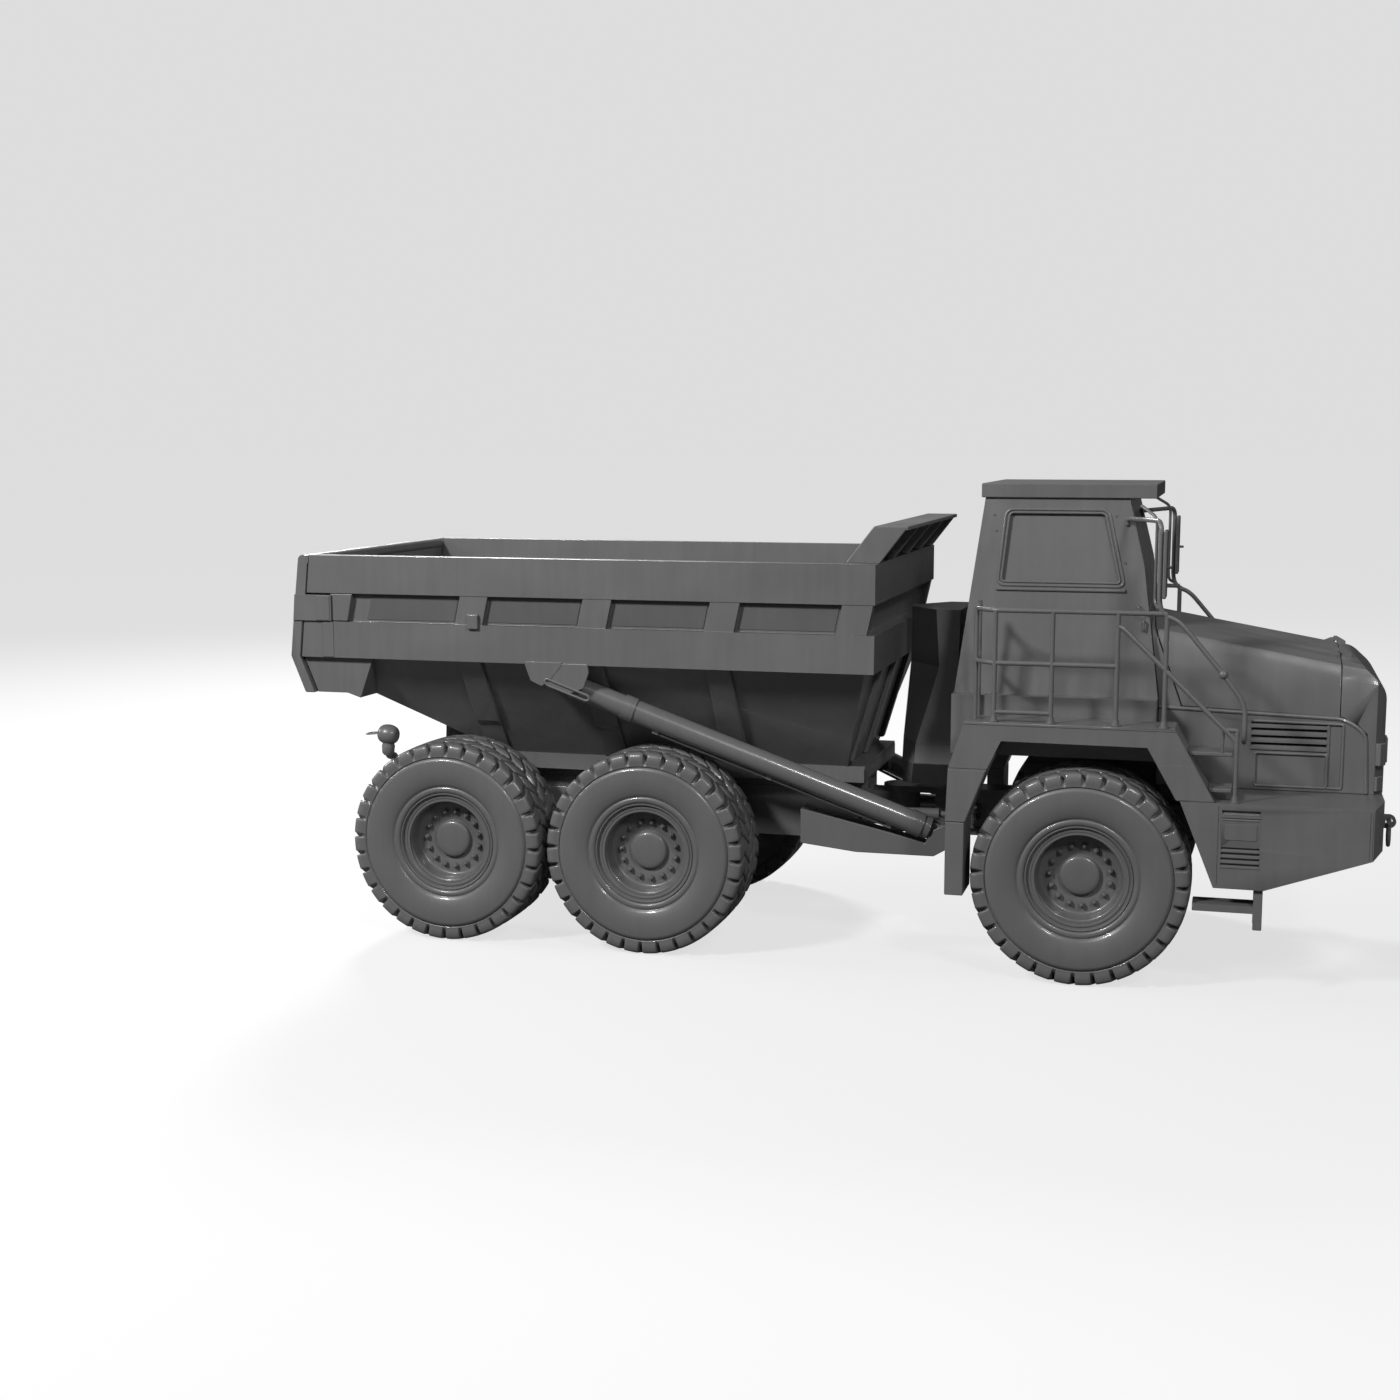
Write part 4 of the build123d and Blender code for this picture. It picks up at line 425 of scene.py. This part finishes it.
NUTS, NUT_START, NUT_CIRCLE, NUT_SEAT = 15, 0.3, 0.226, 0.0965
NUT_STEPS, NUT_CORNER = 12, 0.10
WASHER_TOP, NUT_TOP, NUT_R = 0.004, 0.026, 0.0200
NUT_PROFILE = (
    # height above the seat, r: washer, nut, stud
    (0.0, 0.0245), (WASHER_TOP, 0.0250), (WASHER_TOP, NUT_R), (NUT_TOP, NUT_R), (0.0285, 0.0178),
    (0.0285, 0.0112), (0.039, 0.0106), (0.0415, 0.0074), (0.0423, 0.0),
)


def make_nuts(axle, x, side, hand):
    """The wheel's nuts: a profile turned about its own axis and set out on a circle. On the nut's own height
    its radius is multiplied by 1 plus a tenth of the cosine of six times the turn, which gives six
    corners."""
    rows = np.array(NUT_PROFILE)
    rise, r = rows[:, 0:1], rows[:, 1:2]
    angle = np.arange(NUT_STEPS) * 2 * math.pi / NUT_STEPS
    on_nut = (rise >= WASHER_TOP) & (rise <= NUT_TOP) & (r <= NUT_R)
    r = r * (1 + NUT_CORNER * np.cos(6 * angle)[None, :] * on_nut)
    one = np.stack([r * np.sin(angle), rise + 0 * angle, r * np.cos(angle)], axis=-1).reshape(-1, 3)
    turn = (np.arange(NUTS) + NUT_START) * 2 * math.pi / NUTS
    centre = np.stack([x + NUT_CIRCLE * np.sin(turn), np.full(NUTS, WHEEL_Y + NUT_SEAT),
                       AXLE_Z + NUT_CIRCLE * np.cos(turn)], axis=1)
    points = centre[:, None, :] + one[None, :, :]
    points[..., 1] *= hand
    faces = np.concatenate([grid_faces(len(rows), NUT_STEPS, start=n * len(one)) for n in range(NUTS)])
    piece = mesh_piece(f"{axle}_nuts_{side}", points.reshape(-1, 3), faces)
    close_up(piece, sharp=25)
    place_piece(piece, f"{axle}_rim_{side}")


for axle, axle_x in AXLES:
    for side, hand in SIDES:
        make_tyre(axle, axle_x, side, hand)
        make_rim(axle, axle_x, side, hand)
        make_nuts(axle, axle_x, side, hand)

# Plates and castings that keep the CAD model's shape, with their edges rounded

# Tubed nodes are built anew further down. Moulded ones have wider roundings and smooth shallow edges
TUBED = ("railings", "mirrors", "tail_lamps")
MOULDED = ("hood", "nose", "cowl")
for node in sorted(frame["nodes"]):
    if "_tyre_" in node or "_rim_" in node or node in TUBED:
        continue
    if node in MOULDED:
        softened(node, 0.010, 3, 35, False)
    else:
        softened(node, 0.003 if "glass" in node else 0.008)

# Tubes, blocks and plates for the trim

def rounded_path(points, reach, steps=6):
    """A path of straight runs with each inner corner B replaced by the curve (1-t)^2 A' + 2t(1-t) B + t^2 C',
    where A' and C' lie the reach, or just under half a run if that is less, before and after the corner."""
    points = np.asarray(points, float)
    legs = np.diff(points, axis=0)
    length = np.linalg.norm(legs, axis=1)
    cut = np.minimum(reach, 0.49 * length)[:, None] * legs / length[:, None]
    a, b, c = (points[1:-1] - cut[:-1])[:, None], points[1:-1][:, None], (points[1:-1] + cut[1:])[:, None]
    t = np.linspace(0, 1, steps + 1)[None, :, None]
    bends = ((1 - t) ** 2 * a + 2 * t * (1 - t) * b + t ** 2 * c).reshape(-1, 3)
    return np.concatenate([points[:1], bends, points[-1:]])


def tube_points(path, radius, across, count, closed):
    """Rings round each point P of a path, with the run's direction T, the given direction A made square to T,
    and B = T x A: ring point = P + radius (cos(u) A + sin(u) B)."""
    step = np.roll(path, -1, axis=0) - np.roll(path, 1, axis=0)
    if not closed:
        step[0], step[-1] = path[1] - path[0], path[-1] - path[-2]
    along = step / np.linalg.norm(step, axis=1)[:, None]
    across = np.asarray(across, float)[None, :] - along * (along @ np.asarray(across, float))[:, None]
    across /= np.linalg.norm(across, axis=1)[:, None]
    square = np.cross(along, across)
    u = np.arange(count) * 2 * math.pi / count
    ring = np.cos(u)[None, :, None] * across[:, None] + np.sin(u)[None, :, None] * square[:, None]
    return path[:, None] + np.asarray(radius, float).reshape(-1, 1, 1) * ring


def make_tube(name, node, points, radius, across, reach=0.0, count=12, closed=False):
    """A tube along a path, on the body of a CAD node. Its ends are closed, or joined to each other halfway
    along the last run."""
    path = np.asarray(points, float)
    if closed:
        join = (path[:1] + path[-1:]) / 2
        path = rounded_path(np.concatenate([join, path, join]), reach)[:-1]
    elif reach:
        path = rounded_path(path, reach)
    rings = tube_points(path, radius, across, count, closed)
    faces = grid_faces(len(path), count, wrap_rows=closed)
    if not closed:
        rings = np.concatenate([path[:1, None] + 0 * rings[:1], rings, path[-1:, None] + 0 * rings[:1]])
        faces = grid_faces(len(path) + 2, count)
    piece = mesh_piece(name, rings.reshape(-1, 3), faces)
    close_up(piece, sharp=38)
    return place_piece(piece, node)


def make_block(name, node, low, high, width, lean=(0.0, 0.0)):
    """A block between two corners whose top is shifted in X and Y by a lean, with rounded edges."""
    low, high = np.minimum(low, high), np.maximum(low, high)
    corner = np.array([[0, 0], [1, 0], [1, 1], [0, 1]], float)
    ground = low[:2] + corner * (high - low)[:2]
    points = np.concatenate([np.c_[ground, np.full(4, low[2])], np.c_[ground + lean, np.full(4, high[2])]])
    faces = [(3, 2, 1, 0), (4, 5, 6, 7), (0, 1, 5, 4), (1, 2, 6, 5), (2, 3, 7, 6), (3, 0, 4, 7)]
    piece = mesh_piece(name, points, faces)
    bevel = piece.modifiers.new("soft_edges", "BEVEL")
    bevel.width, bevel.segments, bevel.harden_normals = width, 2, True
    return place_piece(piece, node)


def make_plate(name, node, outline, y, thick, width=0.003, finish=None):
    """A flat plate: an outline of pairs (x, z) at one Y, carried on by a thickness along Y, with soft
    edges."""
    flat = np.asarray(outline, float)
    n = len(flat)
    points = np.concatenate([np.c_[flat[:, 0], np.full(n, y), flat[:, 1]],
                             np.c_[flat[:, 0], np.full(n, y + thick), flat[:, 1]]])
    walls = [(k, (k + 1) % n, n + (k + 1) % n, n + k) for k in range(n)]
    piece = mesh_piece(name, points, [tuple(range(n))[::-1], tuple(range(n, 2 * n))] + walls)
    close_up(piece, sharp=30)
    bevel = piece.modifiers.new("soft_edges", "BEVEL")
    bevel.width, bevel.segments, bevel.harden_normals = width, 2, True
    place_piece(piece, node, finish=finish)


def make_bead(name, node, side, hand, pairs, y, radius, bend=0.02, closed=False):
    """A thin raised bead along pairs (x, z) on an upright face at a distance y from the middle."""
    flat = np.asarray(pairs, float)
    make_tube(f"{name}_{side}", node, np.c_[flat[:, 0], np.full(len(flat), hand * y), flat[:, 1]],
              radius, (0, 1, 0), bend, 8, closed)


# Cab: the right side window's frame, and studs

CAB_FOOT_Y, CAB_FOOT_Z = 0.9, 2.115
CAB_DRAW_IN, CAB_RISE = 0.18, 1.485
SIDE_PANE = ((1.365, 2.964), (2.264, 2.964), (2.138, 3.488), (1.417, 3.488))
GROWN_PANE = ((1.338, 2.938), (2.297, 2.938), (2.160, 3.512), (1.392, 3.512))
SILL = ((1.335, 2.908), (2.300, 2.908))
STUDS = ((1.300, 3.470), (1.318, 3.350), (2.215, 3.470), (2.290, 3.120))


def wall_y(z, out=0.0):
    """The cab wall's distance from the middle at a height: its foot's distance, less an even draw-in with
    the height above the foot, plus a distance outwards."""
    return CAB_FOOT_Y - (np.asarray(z, float) - CAB_FOOT_Z) * CAB_DRAW_IN / CAB_RISE + out


def on_right_wall(pairs, out):
    """Points on the cab's right side wall from pairs (x, z)."""
    pairs = np.asarray(pairs, float)
    return np.c_[pairs[:, 0], -wall_y(pairs[:, 1], out), pairs[:, 1]]


make_tube("side_window_seal", "cab_shell", on_right_wall(SIDE_PANE, 0.001), 0.009, (0, 1, 0), 0.035, 10, True)
make_tube("side_window_frame", "cab_shell", on_right_wall(GROWN_PANE, 0.0), 0.011, (0, 1, 0), 0.060, 10, True)
make_tube("side_window_sill", "cab_shell", on_right_wall(SILL, 0.004), 0.014, (0, 1, 0))
for stud, (stud_x, stud_z) in enumerate(STUDS):
    make_tube(f"wall_stud_{stud}", "cab_shell",
              [(stud_x, -wall_y(stud_z) + inward, stud_z) for inward in (0.004, -0.007)], 0.009, (1, 0, 0))

# Railings, handrails and mirrors, bent from tube

RAIL_Y, RAIL_R = 1.400, 0.018
DECK_TOP, BUMPER_TOP, RAIL_MID, RAIL_TOP = 1.966, 1.441, 2.405, 2.795
CORNER_X, CORNER_Y, TURN_Y, RAIL_END_Y, BEND_X = 1.249, 1.271, 1.281, 1.062, 1.389
POST_X = (1.404, 1.822, 2.290, 2.634)
STEP_POST_X, STEP_RAIL_X, GRAB_X, MIRROR_X = 3.149, 3.050, 3.199, 2.575
KICK_Z, KNOB_X, KNOB_Z = 2.040, 3.040, 2.368
RAIL_RUNS = (
    # points (x, y, z), bend, radius
    (((CORNER_X, RAIL_END_Y, RAIL_TOP), (CORNER_X, TURN_Y, RAIL_TOP), (BEND_X, RAIL_Y, RAIL_TOP),
      (POST_X[3], RAIL_Y, RAIL_TOP)), 0.05, RAIL_R),
    (((CORNER_X, RAIL_END_Y, RAIL_MID), (CORNER_X, TURN_Y, RAIL_MID), (BEND_X, RAIL_Y, RAIL_MID),
      (POST_X[2], RAIL_Y, RAIL_MID)), 0.05, RAIL_R),
    (((CORNER_X, CORNER_Y, DECK_TOP), (CORNER_X, CORNER_Y, RAIL_TOP)), 0.0, RAIL_R),
    (((CORNER_X, 1.075, DECK_TOP), (CORNER_X, 1.075, 2.840)), 0.0, 0.015),
    (((2.279, RAIL_Y, 2.705), (2.330, RAIL_Y, 2.680), (STEP_POST_X, RAIL_Y, 1.885),
      (STEP_POST_X, RAIL_Y, 1.800)), 0.04, RAIL_R),
    (((STEP_POST_X, RAIL_Y, BUMPER_TOP), (STEP_POST_X, RAIL_Y, 1.968), (STEP_RAIL_X, RAIL_Y, 1.968)),
     0.015, 0.016),
    (((STEP_RAIL_X, RAIL_Y, 1.968), (STEP_RAIL_X, 1.37, 1.968), (STEP_RAIL_X, 1.37, 1.800)), 0.015, 0.012),
    (((2.300, 0.748, 3.400), (2.300, 0.748, 3.452), (MIRROR_X, RAIL_Y, 3.462), (MIRROR_X, RAIL_Y, 2.849),
      (2.621, RAIL_Y, 2.780), (2.721, RAIL_Y, 2.745), (KNOB_X, RAIL_Y, KNOB_Z), (GRAB_X, RAIL_Y, 2.153),
      (GRAB_X, RAIL_Y, 1.900), (GRAB_X, 1.30, 1.870)), 0.09, RAIL_R),
    (((2.420, 1.15, 3.560), (2.540, 1.30, 3.480), (2.540, 1.30, 2.860), (MIRROR_X, 1.39, 2.830)),
     0.06, 0.012),
    (((MIRROR_X, RAIL_Y, 3.130), (2.655, RAIL_Y, 3.130)), 0.0, 0.010),
    (((2.400, 0.835, 2.800), (2.400, 0.90, 2.800), (2.470, 0.90, 2.745), (2.470, 0.82, 2.745)), 0.02, 0.010),
    (((2.445, 0.830, 2.690), (2.445, 0.865, 2.690), (2.445, 0.865, 2.620), (2.445, 0.835, 2.620)),
     0.01, 0.008),
)
RAIL_ACROSS = (0.13, 0.99, 0.11)
KNOB_TURN = np.linspace(0, math.pi, 9)
FLANGE_RISE, FLANGE_R = (0.0, 0.010, 0.010, 0.045), (0.042, 0.042, 0.027, 0.022)
for side, hand in SIDES:
    for number, (run, bend, radius) in enumerate(RAIL_RUNS):
        make_tube(f"rail_run_{number}_{side}", "railings", np.array(run) * (1, hand, 1), radius, RAIL_ACROSS,
                  bend, 14)
    for number, post_x in enumerate(POST_X):
        make_tube(f"rail_post_{number}_{side}", "railings",
                  [(post_x, hand * RAIL_Y, z) for z in (DECK_TOP, RAIL_TOP)], RAIL_R, (1, 0, 0))
    for foot, (foot_x, foot_z) in enumerate([(x, DECK_TOP) for x in POST_X] + [(STEP_POST_X, BUMPER_TOP)]):
        make_tube(f"post_flange_{foot}_{side}", "railings",
                  [(foot_x, hand * RAIL_Y, foot_z + rise) for rise in FLANGE_RISE], FLANGE_R, (1, 0, 0))
    make_tube(f"kick_bar_{side}", "railings", [(x, hand * RAIL_Y, KICK_Z) for x in POST_X[:2]],
              0.017, (0, 0, 1))
    make_tube(f"rail_knob_{side}", "railings",
              np.c_[KNOB_X - 0.022 * np.cos(KNOB_TURN), np.full(len(KNOB_TURN), hand * RAIL_Y),
                    KNOB_Z + 0.027 * np.cos(KNOB_TURN)], 0.033 * np.sin(KNOB_TURN) + 0.0005, (0, 1, 0))
    mirror_plate = make_block(f"mirror_plate_{side}", "mirrors", (2.594, hand * 1.235, 2.905),
                              (2.622, hand * 1.455, 3.395), width=0.010)
    if side == "r":
        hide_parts("mirrors")
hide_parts("railings")

# Raised edges, ribs and bare plates on the side panels, the bumper and the fenders

PANEL_SIDE, BUMPER_SIDE, LEG_SIDE = 0.799, 1.449, 1.4485
PANEL_EDGE = ((2.575, 2.040), (3.894, 1.996), (3.990, 1.948), (4.062, 1.882), (4.082, 1.450))
VENT_FRAME = ((3.262, 1.962), (3.905, 1.955), (3.905, 1.474), (3.802, 1.474))
LOWER_FRAME = ((3.282, 1.722), (3.796, 1.722), (3.796, 1.474), (3.282, 1.474))
BUMPER_CORNER = ((4.096, 1.090), (4.096, 1.425))
BUMPER_RIB_Z = (1.361, 1.323, 1.093, 1.050, 1.010)
BADGE = ((3.095, 1.175), (3.305, 1.175), (3.312, 1.185), (3.312, 1.285), (3.300, 1.297), (3.095, 1.290),
         (3.085, 1.280), (3.085, 1.185))
REAR_LEG = ((1.065, 1.205), (1.207, 1.205), (1.355, 1.599), (1.081, 1.599))
FRONT_LEG = ((2.735, 1.449), (3.002, 1.449), (2.860, 1.700), (2.617, 1.700))
for side, hand in SIDES:
    make_bead("panel_edge", "side_panels", side, hand, PANEL_EDGE, PANEL_SIDE, 0.015, 0.05)
    make_bead("vent_frame", "side_panels", side, hand, VENT_FRAME, PANEL_SIDE + 0.001, 0.010)
    make_bead("lower_frame", "side_panels", side, hand, LOWER_FRAME, PANEL_SIDE, 0.010, closed=True)
    make_bead("bumper_bead", "bumper", side, hand, BUMPER_CORNER, BUMPER_SIDE, 0.006)
    for rib, rib_z in enumerate(BUMPER_RIB_Z):
        make_bead(f"bumper_rib_{rib}", "bumper", side, hand, ((3.072, rib_z), (3.325, rib_z)),
                  BUMPER_SIDE - 0.003, 0.009)
    make_plate(f"badge_{side}", "bumper", BADGE, hand * BUMPER_SIDE, hand * 0.005)
    make_plate(f"leg_plate_{side}", "fenders", REAR_LEG, hand * LEG_SIDE, hand * 0.0055)
    make_plate(f"leg_plate_front_{side}", "fenders", FRONT_LEG, hand * LEG_SIDE, hand * 0.003)

# Shackles hanging from the tow eyes

EYE_X, EYE_Y, PIN_Z = 4.255, 0.75, 1.240
SHACKLE = ((-0.040, 1.262), (-0.040, 1.180), (-0.052, 1.110), (0.0, 1.045), (0.052, 1.110), (0.040, 1.180),
           (0.040, 1.262))
for side, hand in SIDES:
    make_tube(f"shackle_{side}", "tow_hooks", [(EYE_X, hand * EYE_Y + y, z) for y, z in SHACKLE],
              0.015, (1, 0, 0), 0.05)
    make_tube(f"shackle_pin_{side}", "tow_hooks",
              [(EYE_X, hand * EYE_Y + y, PIN_Z) for y in (-0.066, 0.066)], 0.018, (1, 0, 0))

# Hoists: a sleeve on the barrel's upper end, with a cover plate and a clip on the bed beside the rod's eye

HOIST_LOW, HOIST_TOP = np.array((0.964, 0.730, 0.950)), np.array((-2.136, 1.362, 2.195))
HOIST_LINE = (HOIST_TOP - HOIST_LOW) / np.linalg.norm(HOIST_TOP - HOIST_LOW)
SLEEVE = (
    # distance from the barrel's lower eye, radius
    (2.66, 0.0885), (2.67, 0.100), (2.73, 0.100), (2.74, 0.0885), (3.13, 0.0885), (3.135, 0.097),
    (3.175, 0.097), (3.185, 0.060),
)
HOIST_COVER = ((-2.055, 2.300), (-2.075, 2.205), (-2.105, 2.165), (-2.085, 2.128), (-1.905, 2.060),
               (-1.790, 2.105), (-1.745, 2.235), (-1.755, 2.300))
HOIST_CLIP = ((-2.108, 2.155), (-2.094, 2.178), (-1.745, 2.052), (-1.740, 2.022), (-1.765, 2.012),
              (-2.088, 2.126))
for side, hand in SIDES:
    make_tube(f"hoist_sleeve_{side}", f"hoist_barrel_{side}",
              [(HOIST_LOW + HOIST_LINE * along) * (1, hand, 1) for along, _ in SLEEVE],
              [radius for _, radius in SLEEVE], (0, 0, 1), 0.0, 32)
    make_plate(f"hoist_cover_{side}", "bed_shell", HOIST_COVER, hand * 1.430, hand * 0.020, 0.008)
    make_tube(f"hoist_link_{side}", "bed_shell", [(x, hand * 1.456, z) for x, z in HOIST_CLIP], 0.010,
              (0, 1, 0), 0.020, 10, True)

# Tail lamps: a rounded pod on a neck and a bent stalk, with a wire guard behind

LAMP_X, LAMP_Y, LAMP_Z, STALK_X = -3.560, 1.22, 1.640, -3.862
POD_TURN = np.linspace(0, math.pi, 15)
LAMP_NECK = (
    # x, z, radius
    (LAMP_X, 1.610, 0.055), (-3.561, 1.580, 0.050), (-3.562, 1.560, 0.048), (-3.563, 1.550, 0.054),
    (-3.566, 1.490, 0.050), (-3.568, 1.470, 0.036),
)
LAMP_STALK = ((LAMP_X, LAMP_Y, 1.610), (-3.566, 1.215, 1.470), (-3.610, 1.02, 1.430), (-3.700, 0.78, 1.360),
              (STALK_X, 0.60, 1.140), (STALK_X, 0.40, 1.120), (STALK_X, 0.0, 1.120))
LAMP_GUARD = ((-3.610, 1.275, 1.655), (-3.745, 1.275, 1.640), (-3.745, 1.165, 1.640), (-3.610, 1.165, 1.655))
for side, hand in SIDES:
    pod = make_tube(f"lamp_pod_{side}", "tail_lamps",
                    np.c_[LAMP_X - 0.085 * np.cos(POD_TURN), np.full(len(POD_TURN), hand * LAMP_Y),
                          LAMP_Z + 0.010 * np.cos(POD_TURN)],
                    0.082 * np.sin(POD_TURN) ** 0.6 + 0.0005, (0, 1, 0), 0.0, 24)
    if side == "r":
        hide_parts("tail_lamps")
    make_tube(f"lamp_stalk_{side}", "tail_lamps", np.array(LAMP_STALK) * (1, hand, 1), 0.034,
              (0.2, 0.1, 0.9), 0.07, 14)
    make_tube(f"lamp_neck_{side}", "tail_lamps", [(x, hand * LAMP_Y, z) for x, z, _ in LAMP_NECK],
              [radius for _, _, radius in LAMP_NECK], (0, 1, 0), 0.0, 24)
    make_tube(f"lamp_guard_{side}", "tail_lamps", np.array(LAMP_GUARD) * (1, hand, 1), 0.006,
              (0.1, 0.1, 0.9), 0.04, 8)

# Bed: sunk panels between the posts, with plates of painted shade, a small block on a post, the ribs' lower
# ends, and strips at the tail

POST_ZERO, POST_PITCH, LAST_POST = 0.494, 1.028, -3.755
SKIN_Y, PANEL_LOW, PANEL_TOP = 1.3845, 2.600, 2.795
TAIL_POST = ((-3.950, 2.585), (-3.800, 2.585), (-3.757, 2.805), (-3.950, 2.805))
RIB_X, RIB_WIDE, HULL_FOOT, RIB_FOOT = (-2.885, -1.857), 0.200, 1.461, 1.700
HULL_LEAN = 0.1797
for side, hand in SIDES:
    make_block(f"post_block_{side}", "bed_shell", (-2.757, hand * 1.434, 2.550),
               (-2.665, hand * 1.462, 2.668), width=0.008)
    make_plate(f"tail_post_{side}", "bed_shell", TAIL_POST, hand * 1.380, hand * 0.055, 0.008)
    for panel in range(4):
        ahead = POST_ZERO - panel * POST_PITCH
        behind = max(ahead - POST_PITCH, LAST_POST)
        outline = ((behind - 0.030, PANEL_LOW), (ahead - 0.300, PANEL_LOW), (ahead - 0.262, PANEL_TOP),
                   (behind + 0.016, PANEL_TOP))
        # painted shade: a thin darker plate in each sunk panel, in place of the shadow that the rail and the
        # posts would cast
        make_plate(f"painted_shade_panel_{panel}_{side}", "bed_shell", outline, hand * SKIN_Y, hand * 0.0050, 0.002,
                   finish="painted_recess_shade")
    for rib, rib_x in enumerate(RIB_X):
        make_block(f"rib_end_{rib}_{side}", "bed_ribs", (rib_x, hand * 0.690, HULL_FOOT),
                   (rib_x + RIB_WIDE, hand * 0.724, RIB_FOOT), lean=(0.0, hand * HULL_LEAN), width=0.004)
    make_block(f"tail_strip_{side}", "bed_shell", (-4.020, hand * 1.4345, 2.292),
               (-3.925, hand * 1.441, 2.575), width=0.004)
    make_block(f"wrap_plate_{side}", "tailgate", (-4.068, hand * 1.4545, 2.590),
               (-3.948, hand * 1.4610, 2.790), width=0.005)

# Floor: pale to the camera, with the truck's soft shadow on it, and darker to the light from below

FLOOR_HALF, FLOOR_TONE, FLOOR_GLOW, FLOOR_BELOW = 400, 0.18, 0.70, 0.10
floor = mesh_piece("floor", FLOOR_HALF * np.array([(-1, -1, 0), (1, -1, 0), (1, 1, 0), (-1, 1, 0)]),
                   [(0, 1, 2, 3)], smooth=False)
pale = Finish("pale_floor")
pale.shade(Base_Color=(FLOOR_TONE, FLOOR_TONE, FLOOR_TONE, 1), Roughness=0.95, Emission_Color=(1, 1, 1, 1),
           Emission_Strength=FLOOR_GLOW)
dim = pale.nodes.new("ShaderNodeBsdfDiffuse")
dim.inputs["Color"].default_value = (FLOOR_BELOW, FLOOR_BELOW, FLOOR_BELOW, 1)
pale.links.new(seen_only(pale.material.node_tree, pale.shader.outputs[0], dim.outputs[0]),
               pale.nodes["Material Output"].inputs["Surface"])
floor.data.materials.append(pale.material)
